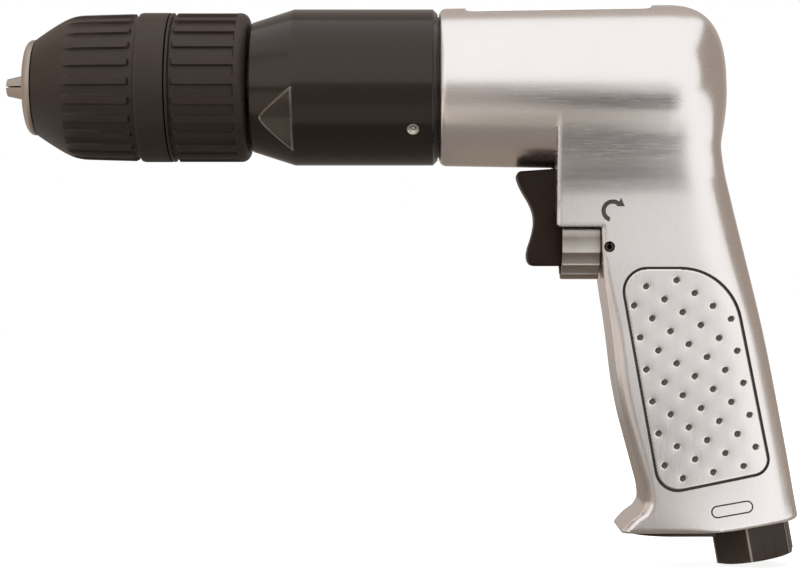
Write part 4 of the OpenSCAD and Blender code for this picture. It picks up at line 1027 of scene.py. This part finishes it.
def nose_collar():
    """Steel collar at the nose of the chuck, with a rounded front edge and a chamfered mouth."""
    x0, x1 = COLLAR_LOW[0], COLLAR_HIGH[0]
    r = COLLAR_HIGH[1]
    rim_x = SLEEVE_LOW[0] - COLLAR_GAP
    loop = rounded_outline([
        (x0, MOUTH_R + MOUTH_CHAMFER, 0), (x0, r, COLLAR_ROUND), (rim_x, r, 0.25), (rim_x, COLLAR_NECK_R, 0),
        (x1, COLLAR_NECK_R, 0.3), (x1, COLLAR_BORE_R, 0), (x0 + MOUTH_LEN, COLLAR_BORE_R, 0),
        (x0 + MOUTH_LEN, MOUTH_R, 0), (x0 + MOUTH_CHAMFER, MOUTH_R, 0.2),
    ], 10)
    piece = swept("chuck_nose_ring", refine(loop, 2.0), full_turn(144), material=FINISH["turned_steel"])
    return tidy_mesh(piece, 28)


# Gear case: its cone, the seats inside it as (distance from the front, radius), and its two spanner flats
CONE_RISE = 4.1
CONE_LEN = 12.8
CASE_GAP = 0.4
CASE_CHAMFER = 1.5
CASE_THREAD_R = 21.4
CASE_MOUTH_R = 9.35
CASE_SEATS = [(13.6, 19.6), (13.6, 14.85), (12.4, 14.85), (12.4, 14.02), (3.4, 14.02), (3.4, 12.1), (0.8, 12.1)]
CASE_CELL = 0.47
CASE_SKIN_R = 16
FLAT_DIST = CASE_HIGH[1] - 2.9
FLAT_TURN = 31
FLAT_EDGE = 0.2
FLAT_TIP = 3.4
FLAT_TIP_ROUND = 1.6
# Width of the rubbed rim of the flats with its painted highlight, and the strength of the painted sheen over
# the flats
FLAT_RIM = 0.17
FLAT_PAINTED_SHEEN = 0.14
FLAT_SHARE = 0.88
FLAT_END = 0.3
FLAT_END_SOFT = 0.35
FLAT_SPAN = 36
FINE_STEP = 0.7
COARSE_STEP = 2.0


def gear_case():
    """Gear case: a cone with two spanner flats, a plain barrel, and the thread into the housing."""
    x0, x1 = CASE_LOW[0], CASE_HIGH[0]
    r = CASE_HIGH[1]
    end_flat = x0 + CONE_LEN
    end_x = HOUSE_LOW[0] - CASE_GAP
    corners = [
        (x0, CASE_MOUTH_R, 0.3), (x0, r - CONE_RISE, 0.5), (end_flat, r, 1.0), (end_x - CASE_CHAMFER, r, 0.4),
        (end_x, r - CASE_CHAMFER, 0.2), (end_x, CASE_THREAD_R, 0), (x1, CASE_THREAD_R, 0),
        (x1, CASE_SEATS[0][1], 0), *((x0 + x, q, 0) for x, q in CASE_SEATS),
        (x0 + CASE_SEATS[-1][0], CASE_MOUTH_R, 0),
    ]
    loop = refine(rounded_outline(corners, 8), CASE_CELL, CASE_SKIN_R + 1)
    turns = [math.radians(180 + FLAT_TURN), math.radians(FLAT_TURN)]
    fine = np.radians(np.arange(-FLAT_SPAN, FLAT_SPAN, FINE_STEP))
    coarse = np.radians(np.arange(FLAT_SPAN, 180 - FLAT_SPAN, COARSE_STEP))
    angles = np.concatenate([turn + part for turn in turns[::-1] for part in (fine, coarse)])

    flat_half = FLAT_SHARE * math.sqrt(r ** 2 - FLAT_DIST ** 2)
    rise = (r - FLAT_DIST) / (CONE_LEN - FLAT_TIP)
    lean = (CONE_LEN - FLAT_TIP) / (math.hypot(flat_half, FLAT_TIP_ROUND) - FLAT_TIP_ROUND)

    def flat_gap(x, angle):
        """Depth of the flat under the cone, and its slope, at a place on the cone."""
        turned = np.min([np.abs((angle - turn + math.pi) % (2 * math.pi) - math.pi) for turn in turns], axis=0)
        across = FLAT_DIST * np.tan(np.minimum(turned, 1.0))
        reach = np.hypot(across, FLAT_TIP_ROUND)
        gap = rise * (x - x0 - FLAT_TIP - lean * (reach - FLAT_TIP_ROUND))
        return gap, rise * np.hypot(1, lean * across / reach)

    def with_flats(x, radius, angle):
        gap = flat_gap(x, angle)[0]
        soft = np.maximum(gap, 0) + np.maximum(FLAT_EDGE - np.abs(gap), 0) ** 2 / (4 * FLAT_EDGE)
        on_cone = (x < end_flat + 0.1) & (radius > CASE_SKIN_R)
        return np.where(on_cone, radius - soft * ease(end_flat + FLAT_END - x, 0, FLAT_END_SOFT), radius)

    # Rubbed edge with a painted highlight along the rims of the flats, and a faint painted sheen over the flats
    def near_rim(x, y, z):
        gap, slope = flat_gap(x, np.arctan2(z, y))
        away = np.where(gap > 0, np.minimum(gap / slope, np.abs(x - end_flat)), -gap / slope)
        on_front = (x > x0 + 1) & (x < end_flat + 0.4) & (np.hypot(y, z) > CASE_SKIN_R)
        worn_and_lit = np.maximum(np.clip(1.3 - away / FLAT_RIM, 0, 1), FLAT_PAINTED_SHEEN * (gap > 0))
        return np.where(on_front, worn_and_lit, 0)

    piece = swept("gear_case_shell", loop, angles, with_flats, material=FINISH["black_anodised"])
    tidy_mesh(piece, 32)
    hole_ends = (r - FITTING_DEEP - FITTING_PLAY, r + 3)
    cut(piece, lofted("fitting_hole", [fitting_ring(FITTING_R + FITTING_PLAY, end, 40) for end in hole_ends]))
    return mark_edges(tidy_mesh(piece, 32, turn_out=False), near_rim)


# Grease fitting: its hole, and its profile as (radius, height over the surface of the case)
FITTING_R = 2.05
FITTING_DEEP = 3.5
FITTING_PLAY = 0.1
FITTING_PROFILE = [
    (0, -FITTING_DEEP), (FITTING_R, -FITTING_DEEP), (FITTING_R, -0.35), (1.9, -0.1), (1.6, -0.06), (1.35, -0.2),
    (0.95, -0.75), (0.62, -1.0), (0.55, -0.78), (0.4, -0.6), (0.2, -0.52), (0, -0.5),
]


def fitting_ring(r, height, count=48):
    """Ring around the axis of the grease fitting, at a height over the spindle."""
    a = full_turn(count)
    along = np.array([1.0, 0, 0])
    ring = np.outer(np.cos(a), along) + np.outer(np.sin(a), np.cross(FITTING_OUT, along))
    return along * FITTING_AT[0] + FITTING_OUT * height + ring * r


def grease_fitting():
    """Flush grease fitting: a cupped rim around a small check ball."""
    rings = [fitting_ring(r, CASE_HIGH[1] + height) for r, height in FITTING_PROFILE]
    faces = ring_faces(len(rings), len(rings[0]))
    return tidy_mesh(piece_from("grease_fitting_head", np.concatenate(rings), faces, FINISH["zinc_plate"]), 35)


def pillow(name, outline, half_w, edge, material, steps=6):
    """Extrudes an (x, z) outline both ways across, with all its edges rounded."""
    turns = np.linspace(0, math.pi / 2, steps + 1)
    rings = [(half_w - edge + edge * math.sin(a), shrink(outline, edge * (1 - math.cos(a)))) for a in turns]
    rings = [(-w, o) for w, o in rings[::-1]] + rings
    return lofted(name, [np.insert(o, 1, w, axis=1) for w, o in rings], material)


# Front edge of the trigger, from its top down, as shares of its depth and height
TRIGGER_FRONT = [
    (0.05, 0.05), (0.03, 0.09), (0.085, 0.173), (0.175, 0.257), (0.275, 0.338), (0.35, 0.419), (0.39, 0.5),
    (0.392, 0.58), (0.362, 0.665), (0.315, 0.745), (0.262, 0.826), (0.242, 0.9), (0.266, 0.955), (0.32, 0.99),
]
TRIGGER_EDGE = 0.9
TRIGGER_TOP_GAP = 0.15
STEM_PLAY = 0.05


def trigger():
    """Sliding trigger: a scooped front, rounded edges and a flat rear."""
    x0, x1 = TRIGGER_LOW[0], TRIGGER_HIGH[0]
    z0, z1 = TRIGGER_LOW[2], TRIGGER_HIGH[2]
    depth, height = x1 - x0, z1 - z0
    front = smooth_through([(x0 + u * depth, z1 - v * height) for u, v in TRIGGER_FRONT], 4)
    rear = np.array([(x0 + 0.4 * depth, z0), (x1, z0), (x1, z1 - TRIGGER_TOP_GAP),
                     (x0 + 0.1 * depth, z1 - 0.036 * height)])
    outline = np.concatenate([front, rear])
    piece = pillow("trigger_blade", outline, TRIGGER_HIGH[1], TRIGGER_EDGE, FINISH["trigger_plastic"])
    tidy_mesh(piece, 40)
    stem_low, stem_high = node_box("trigger_stem")
    socket = disc(stem_high[1] + STEM_PLAY, -(stem_low[2] + stem_high[2]) / 2, 48)
    cut(piece, x_prism("stem_socket", socket, stem_low[0] - STEM_PLAY, x1 + 1))
    return tidy_mesh(piece, 40, turn_out=False)


# Reverse knob: flutes from an angle under the horizontal, and the walls around its hollow
FLUTES = 7
FLUTE_FROM = 20
FLUTE_DEEP = 0.7
FLUTE_STEPS = 16
RIDGE_HALF = 0.25
KNOB_WALL = 1.6
KNOB_END_WALL = 4
KNOB_FRONT_GAP = 0.7
KNOB_EDGE = 0.6
CHEEK_ROUND = 1.3
# Painted band of light along the top of the cheeks: its strength, how far down it reaches and its softness
CHEEK_LIGHT = 0.7
CHEEK_LIGHT_FROM = 1.5
CHEEK_LIGHT_SOFT = 0.3
RIDGE_MARGIN = 5
RIDGE_LOW = 0.5
KNOB_STEM_SHARE = 0.63


def knob_outline(r, cheek, drop):
    """(y, z) outline of the knob: a round, fluted lower half with straight, rounded cheeks above."""
    sweep = math.radians(180 - 2 * FLUTE_FROM)
    points = [(-r, -drop)]
    for k in range(FLUTES * FLUTE_STEPS + 1):
        a = math.pi + math.radians(FLUTE_FROM) + sweep * k / (FLUTES * FLUTE_STEPS)
        deep = FLUTE_DEEP * abs(math.sin(math.pi * k / FLUTE_STEPS)) ** 0.8
        points.append(((r - deep) * math.cos(a), (r - deep) * math.sin(a) - drop))
    points.append((r, -drop))
    bend_y, bend_z = r - CHEEK_ROUND, cheek - drop - CHEEK_ROUND
    for side, start in ((1, 0), (-1, math.pi / 2)):
        for a in np.linspace(start, start + math.pi / 2, 6):
            points.append((side * bend_y + CHEEK_ROUND * math.cos(a), bend_z + CHEEK_ROUND * math.sin(a)))
    return np.array(points)


def reverse_knob():
    """Fluted reverse knob, hollow and open towards the trigger."""
    x0, x1 = KNOB_LOW[0] + KNOB_FRONT_GAP, KNOB_HIGH[0]
    r = KNOB_HIGH[1]
    valve_low, valve_high = node_box("reverse_valve")
    drop = -(valve_low[2] + valve_high[2]) / 2
    cheek = KNOB_HIGH[2] + drop
    outline = knob_outline(r, cheek, drop)
    turns = np.linspace(0, math.pi / 2, 5)
    rings = [(x0 + KNOB_EDGE * (1 - math.cos(a)), KNOB_EDGE * (1 - math.sin(a))) for a in turns]
    rings += [(x1 - KNOB_EDGE * (1 - math.sin(a)), KNOB_EDGE * (1 - math.cos(a))) for a in turns]
    rings = [np.insert(shrink(outline, inset), 0, x, axis=1) for x, inset in rings]
    piece = lofted("reverse_knob_shell", rings, FINISH["cast_zinc"])
    inner, rim_z = r - KNOB_WALL, cheek + 1 - drop
    turns = np.linspace(math.pi, 2 * math.pi, 49)
    lower = np.column_stack([inner * np.cos(turns), inner * np.sin(turns) - drop])
    hollow = np.concatenate([lower, np.array([[inner, rim_z], [-inner, rim_z]])])
    cut(piece, x_prism("knob_hollow", hollow, x0 - 1, x1 - KNOB_END_WALL))
    stem_hole = disc(valve_high[1] * KNOB_STEM_SHARE + STEM_PLAY, drop, 48)
    cut(piece, x_prism("knob_stem_hole", stem_hole, x1 - KNOB_END_WALL - 2, x1 + 1))

    # Painted highlights along the ridges between the flutes, and a painted band of light along the top of the
    # cheeks
    def near_ridge(x, y, z):
        turn = np.degrees(np.arctan2(-z - drop, np.abs(y)))
        pitch = (180 - 2 * FLUTE_FROM) / FLUTES
        off = np.abs((turn - FLUTE_FROM + pitch / 2) % pitch - pitch / 2)
        ridge = np.clip(1.5 - np.radians(off) * r / RIDGE_HALF, 0, 1) * (turn > FLUTE_FROM - RIDGE_MARGIN)
        ridge = ridge * (np.hypot(y, z + drop) > r - RIDGE_LOW)
        top = np.clip((z + drop - cheek + CHEEK_LIGHT_FROM) / CHEEK_LIGHT_SOFT, 0, 1)
        return np.maximum(ridge, CHEEK_LIGHT * top)

    return mark_edges(tidy_mesh(piece, 28, turn_out=False), near_ridge)


SPRING_LOW, SPRING_HIGH = node_box("throttle_spring")
SPRING_TURNS = 7
SPRING_WIRE_R = 0.5
SPRING_STEPS = 24
SPRING_SIDES = 10


def throttle_spring():
    """Coil spring behind the throttle valve, which closes up as the trigger goes in."""
    low, high = SPRING_LOW, SPRING_HIGH
    drop = -(low[2] + high[2]) / 2
    t = full_turn(SPRING_SIDES)
    r = high[1] - SPRING_WIRE_R + SPRING_WIRE_R * np.cos(t)
    rings = SPRING_TURNS * SPRING_STEPS + 1
    xs = np.linspace(low[0] + SPRING_WIRE_R, high[0] - SPRING_WIRE_R, rings)
    turns = np.arange(rings) * 2 * math.pi / SPRING_STEPS
    wire = [np.column_stack([x + SPRING_WIRE_R * np.sin(t), r * math.cos(a), r * math.sin(a) - drop])
            for x, a in zip(xs, turns)]
    return tidy_mesh(lofted("throttle_spring_coil", wire, FINISH["zinc_plate"]), 40)


# Spring pins: how far they lie under the skin, their length, and the angles between which their wall goes round
PIN_SINK = 0.25
PIN_LEN = 9.0
PIN_CHAMFER = 0.3
PIN_BORE_SHARE = 0.5
PIN_WALL_TURN = (100, 428)


def roll_pins():
    """Two spring pins, rolled from sheet with an open slit and chamfered ends."""
    bore, r, end_r = PIN_R * PIN_BORE_SHARE, PIN_R, PIN_R - PIN_CHAMFER
    out_y = float(skin_y(np.array([PIN_X]), np.array([PIN_Z]))[0]) - PIN_SINK
    in_y = out_y - PIN_LEN
    rows = [(in_y, bore), (in_y, end_r), (in_y + PIN_CHAMFER, r),
            (out_y - PIN_CHAMFER, r), (out_y, end_r), (out_y, bore)]
    angles = np.radians(np.linspace(*PIN_WALL_TURN, 44))
    points, faces = [], []
    for side in (-1, 1):
        grid = len(angles), len(rows), len(points)
        faces += ring_faces(*grid) + end_caps(*grid)
        for a in angles:
            points.extend([PIN_X + q * math.cos(a), side * y, PIN_Z + q * math.sin(a)] for y, q in rows)
    return tidy_mesh(piece_from("spring_pins", points, faces, FINISH["black_oxide"]), 30)


# Inlet: its hexagon, the spigot in the handle, the pipe thread and the bore behind it
HEX_FLATS = 22.4
HEX_CORNER_R = 12.6
HEX_TURN = 17
HEX_POINTS = 360
SPIGOT_R = 9.0
SPIGOT_END = 23.9
INLET_BORE_R = 4.4
THREAD_R = 5.95
THREAD_HIGH = 0.55
THREAD_DEEP = 14.0
THREAD_PITCH = 1.41
HEX_BRIGHT_EDGE = 0.3


def hex_corner_turn(angle):
    """Angle to the nearest corner of the hexagon."""
    return np.abs((angle - math.radians(HEX_TURN) + math.pi / 6) % (math.pi / 3) - math.pi / 6)


def inlet_bushing():
    """Hexagonal air inlet with turned corners, a chamfered face and a threaded bore."""
    off_corner = hex_corner_turn(full_turn(HEX_POINTS))
    face_r = HEX_FLATS / 2
    body = np.minimum(face_r / np.cos(off_corner - math.pi / 6), HEX_CORNER_R)
    rows = [
        (0.35, face_r - 1.0), (0.0, face_r - 0.75), (0.0, face_r), (0.45, body), (HEX_LEN - 0.1, body),
        (HEX_LEN - 0.05, SPIGOT_R), (SPIGOT_END, SPIGOT_R), (SPIGOT_END, INLET_BORE_R),
        (THREAD_DEEP + 0.2, INLET_BORE_R), (THREAD_DEEP, THREAD_R - 0.95),
    ]
    for height in np.arange(THREAD_DEEP - 0.3, 1.0, -THREAD_PITCH):
        rows += [(height, THREAD_R), (height - THREAD_PITCH / 2, THREAD_R - THREAD_HIGH)]
    rows += [(0.9, THREAD_R), (0.35, THREAD_R + 0.6)]
    points = np.concatenate([inlet_ring(r, height, HEX_POINTS) for height, r in rows])
    faces = ring_faces(len(rows), HEX_POINTS, loop=True)
    piece = piece_from("air_inlet_hexagon", points, faces, FINISH["black_oxide"])

    # Rubbed bare and painted highlight along each turned corner of the hexagon
    def near_corner(x, y, z):
        off = np.stack([x, y, z], axis=1) - INLET_FACE
        across, height = off @ INLET_SIDE, off @ INLET_UP
        turn = hex_corner_turn(np.arctan2(y, across))
        on_side = (height > HEX_BRIGHT_EDGE) & (height < HEX_LEN) & (np.hypot(across, y) > face_r - HEX_BRIGHT_EDGE)
        return np.where(on_side, np.clip(1.4 - turn * HEX_CORNER_R / HEX_BRIGHT_EDGE, 0, 1), 0)

    return mark_edges(tidy_mesh(piece, 20), near_corner)


# Label: its half width as an angle around the barrel, its corners, and its place over the skin
LABEL_HALF_TURN = 25
LABEL_ROUND = 2.0
LABEL_LIFT = 0.05
LABEL_THICK = 0.18


def label():
    """Bare label on top of the barrel: a thin curved sheet with rounded corners."""
    x0, x1 = LABEL_LOW[0], LABEL_HIGH[0]
    r_mid = LABEL_HIGH[2] - 0.6
    xs = np.linspace(x0, x1, 57)
    inset = np.maximum(LABEL_ROUND - np.minimum(xs - x0, x1 - xs), 0)
    wide = math.radians(LABEL_HALF_TURN) * r_mid - LABEL_ROUND + np.sqrt(LABEL_ROUND ** 2 - inset ** 2)
    turn = np.outer(wide / r_mid, np.linspace(-1, 1, 29))
    points = []
    for level in (LABEL_LIFT, LABEL_LIFT + LABEL_THICK):
        r = (barrel_r(xs) + level)[:, None]
        sheet = np.stack([xs[:, None] + 0 * turn, r * np.sin(turn), r * np.cos(turn)], axis=2)
        points.append(sheet.reshape(-1, 3))
    quads, _, walls = sheet_faces(*turn.shape)
    faces = np.concatenate([quads, quads + turn.size, walls])
    return tidy_mesh(piece_from("bare_label", np.concatenate(points), faces, FINISH["label_sheet"]), 40)


def place_piece(piece, body, slot, *nodes):
    """Puts a finished piece on its body, in the place of nodes of the part."""
    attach(piece, body)
    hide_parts(*nodes)


place_piece(motor_casting(), "housing", "cast_aluminium", "motor_housing")
place_piece(grip_panel(-1, "grip_panel_left"), "housing", "cast_aluminium", "motor_housing")
place_piece(grip_panel(1, "grip_panel_right"), "housing", "cast_aluminium", "motor_housing")
place_piece(label(), "housing", "label_sheet", "label_plate")
place_piece(gear_case(), "housing", "black_anodised", "gear_case")
place_piece(grease_fitting(), "housing", "zinc_plate", "grease_fitting")
place_piece(roll_pins(), "housing", "black_oxide", "reverse_pins")
place_piece(inlet_bushing(), "housing", "black_oxide", "inlet_bushing")
place_piece(front_sleeve(), "chuck_sleeve", "chuck_plastic", "chuck_front_sleeve")
place_piece(rear_sleeve(), "spindle", "chuck_plastic", "chuck_rear_sleeve")
place_piece(nose_collar(), "spindle", "turned_steel", "chuck_nose_collar")
place_piece(trigger(), "trigger", "trigger_plastic", "trigger")
place_piece(reverse_knob(), "reverse", "cast_zinc", "reverse_knob")
spring = throttle_spring()
place_piece(spring, "housing", "zinc_plate", "throttle_spring")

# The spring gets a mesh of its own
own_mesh(spring)

# Every CAD node that stays gets the finish of its slot
for part in RECORD["subparts"]:
    node = frame["nodes"][part["node"]]
    node.data.materials.clear()
    node.data.materials.append(FINISH[part["material_slot"]])


def bare_tree(owner):
    """Node tree of a new material or world, emptied."""
    owner.use_nodes = True
    owner.node_tree.nodes.clear()
    return owner.node_tree


def seen_share(tree):
    """1 for the camera, in mirrors and through glass, and 0 for light that falls on the object."""
    rays = add(tree, "ShaderNodeLightPath").outputs
    seen = rays["Is Camera Ray"]
    for kind in ("Is Glossy Ray", "Is Transmission Ray"):
        seen = add(tree, "ShaderNodeMath", {0: seen, 1: rays[kind]}, operation="MAXIMUM").outputs[0]
    return seen


FLOOR_GLOW = 0.875


def floor_paint():
    """Pale floor: white to the eye, apart from the object's shadow, and warm in the light it throws back."""
    material = bpy.data.materials.new("pale_floor")
    tree = bare_tree(material)
    seen = seen_share(tree)
    level = add(tree, "ShaderNodeMath", {0: seen, 1: FLOOR_GLOW}, operation="MULTIPLY")
    glow = add(tree, "ShaderNodeEmission", {"Color": hex_linear("FFFFFF"), "Strength": level.outputs[0]})
    colour = add(tree, "ShaderNodeMix", {
        "Factor": seen, "A": hex_linear("B8B1A9"), "B": hex_linear("AEADAA"),
    }, data_type="RGBA")
    paint = add(tree, "ShaderNodeBsdfDiffuse", {"Color": colour.outputs["Result"]})
    both = add(tree, "ShaderNodeAddShader", {0: paint.outputs[0], 1: glow.outputs[0]})
    add(tree, "ShaderNodeOutputMaterial", {"Surface": both.outputs[0]})
    return material


FLOOR_GAP = 0.4
FLOOR_Z = cad_box[0][2] / MM - FLOOR_GAP
FLOOR_HALF = 3000


def studio_card(name, colour, corners):
    """Grey card beside the set, which only reflections see."""
    material = bpy.data.materials.new(name)
    tree = bare_tree(material)
    glow = add(tree, "ShaderNodeEmission", {"Color": hex_linear(colour), "Strength": 1.0})
    add(tree, "ShaderNodeOutputMaterial", {"Surface": glow.outputs[0]})
    card = piece_from(name, corners, [[0, 1, 2, 3]], material)
    card.visible_camera = False
    card.visible_shadow = False
    card.visible_diffuse = False


def standing(x0, y0, x1, y1, low, high):
    """Corners of a card that stands between two places."""
    return [(x0, y0, low), (x1, y1, low), (x1, y1, high), (x0, y0, high)]


def lying(y0, x00, x01, y1, x10, x11, lift=2):
    """Corners of a level card from one row to another; a card with more lift hides those below it."""
    z = FLOOR_Z + lift
    return [(x00, y0, z), (x01, y0, z), (x11, y1, z), (x10, y1, z)]


WHOLE_FLOOR = (-FLOOR_HALF, -FLOOR_HALF, FLOOR_HALF, FLOOR_HALF, -FLOOR_HALF, FLOOR_HALF)
piece_from("studio_floor", lying(*WHOLE_FLOOR, 0), [[0, 1, 2, 3]], floor_paint())

# Cards around the set: what the polished casting and the oiled case mirror in the photograph
CARD_FAR = 1300
CARDS = [
    ("surround_card", "A59E97", lying(*WHOLE_FLOOR, 0.5)),
    ("camera_card", "5A5653", standing(132, -CARD_FAR, 250, -CARD_FAR, FLOOR_Z, 40)),
    ("front_card", "5A5653", lying(-250, 132, 235, -CARD_FAR, 132, 250)),
    ("case_card", "A8A19A", lying(-250, -60, 132, -CARD_FAR, -110, 132)),
    ("case_card_far", "A8A19A", standing(-110, -CARD_FAR, 132, -CARD_FAR, FLOOR_Z, 40)),
    ("nose_card", "E4DCD4", lying(-250, -420, -60, -CARD_FAR, -420, -110)),
    ("nose_card_far", "E4DCD4", standing(-420, -CARD_FAR, -110, -CARD_FAR, FLOOR_Z, 40)),
    ("case_floor_card", "857E77", lying(400, -60, 135, -100, -60, 135)),
    ("case_floor_card_near", "C4BDB6", lying(-100, -60, 135, -250, -60, 135)),
    ("left_floor_card", "E4DCD4", lying(400, -420, -60, -250, -420, -60)),
    ("barrel_card_near", "857E77", lying(0, 135, 215, -90, 135, 215)),
    ("barrel_card", "A39D95", lying(-90, 135, 215, -160, 135, 215)),
    ("barrel_card_far", "BBB5AE", lying(-160, 135, 215, -290, 135, 240, 3)),
    ("casting_end_card", "B3ADA6", lying(-250, 132, 151, -CARD_FAR, 132, 174, 4)),
    ("casting_end_card_far", "B3ADA6", standing(132, -CARD_FAR + 2, 174, -CARD_FAR + 2, FLOOR_Z, 40)),
    ("under_card", "8E8378", lying(400, 135, 215, 0, 135, 215)),
    ("block_card", "2E2B2A", lying(-205, 172, 240, -560, 186, 282, 4)),
    ("grip_card", "AAA6A2", lying(-350, 247, 271, -CARD_FAR, 365, 425, 3)),
    ("grip_card_far", "AAA6A2", standing(365, -CARD_FAR, 425, -CARD_FAR, FLOOR_Z, -50)),
    ("pale_floor_card", "FFFFFF", lying(-30, 215, 900, -FLOOR_HALF, 250, 2000, 1)),
    ("left_card", "D2C7BE", standing(-900, -900, -900, CARD_FAR, FLOOR_Z, 1200)),
    ("right_card", "A0958B", standing(1150, -900, 1150, CARD_FAR, FLOOR_Z, 1200)),
    ("far_side_card", "B5ABA3", standing(-900, CARD_FAR, 1150, CARD_FAR, FLOOR_Z, 3400)),
]
for card in CARDS:
    studio_card(*card)

world = bpy.data.worlds.new("studio")
bpy.context.scene.world = world
sky = bare_tree(world)
white = add(sky, "ShaderNodeBackground", {"Color": (1.0, 1.0, 1.0, 1.0), "Strength": 1.0})
fill = add(sky, "ShaderNodeBackground", {"Color": hex_linear("F2F0EE"), "Strength": 0.45})
sky_mix = add(sky, "ShaderNodeMixShader", {0: seen_share(sky), 1: fill.outputs[0], 2: white.outputs[0]})
add(sky, "ShaderNodeOutputWorld", {"Surface": sky_mix.outputs[0]})


def soft_light(name, place, aim, size, watts):
    """Softbox that lights the plastics; polished metal mirrors the white room instead of it."""
    lamp = bpy.data.lights.new(name, "AREA")
    lamp.shape = "RECTANGLE"
    lamp.size, lamp.size_y = size[0] * MM, size[1] * MM
    lamp.energy = watts
    holder = bpy.data.objects.new(name, lamp)
    bpy.context.collection.objects.link(holder)
    holder.visible_glossy = False
    way = np.array(aim, float) - np.array(place, float)
    flat = math.hypot(way[0], way[1])
    holder.location = [v * MM for v in place]
    holder.rotation_euler = (math.atan2(flat, -way[2]), 0, math.atan2(-way[0], way[1]))


MIDDLE = (120, 0, -60)
soft_light("top_softbox", (80, -350, 900), MIDDLE, (900, 700), 9)
soft_light("left_softbox", (-700, -700, 350), MIDDLE, (600, 600), 5)
soft_light("rear_softbox", (250, 800, 600), MIDDLE, (800, 600), 5)

# Camera of the photograph: square on to the left side, a little behind the middle of the frame
MM_PER_PIXEL = 0.305
IMAGE_WIDTH = 800
FRAME_WIDTH = IMAGE_WIDTH * MM_PER_PIXEL
FRAME_CENTRE_X = 119.6
VIEW_POINT = (131.8, -620, -60.6)
camera = bpy.data.cameras.new("photo_camera")
camera.sensor_width = 36
camera.lens = camera.sensor_width * -VIEW_POINT[1] / FRAME_WIDTH
camera.shift_x = (FRAME_CENTRE_X - VIEW_POINT[0]) / FRAME_WIDTH
camera.clip_start = 0.05
camera.clip_end = 20
viewer = bpy.data.objects.new("photo_camera", camera)
bpy.context.collection.objects.link(viewer)
viewer.location = [v * MM for v in VIEW_POINT]
viewer.rotation_euler = (math.pi / 2, 0, 0)
bpy.context.scene.camera = viewer
bpy.context.scene.view_settings.view_transform = "Standard"
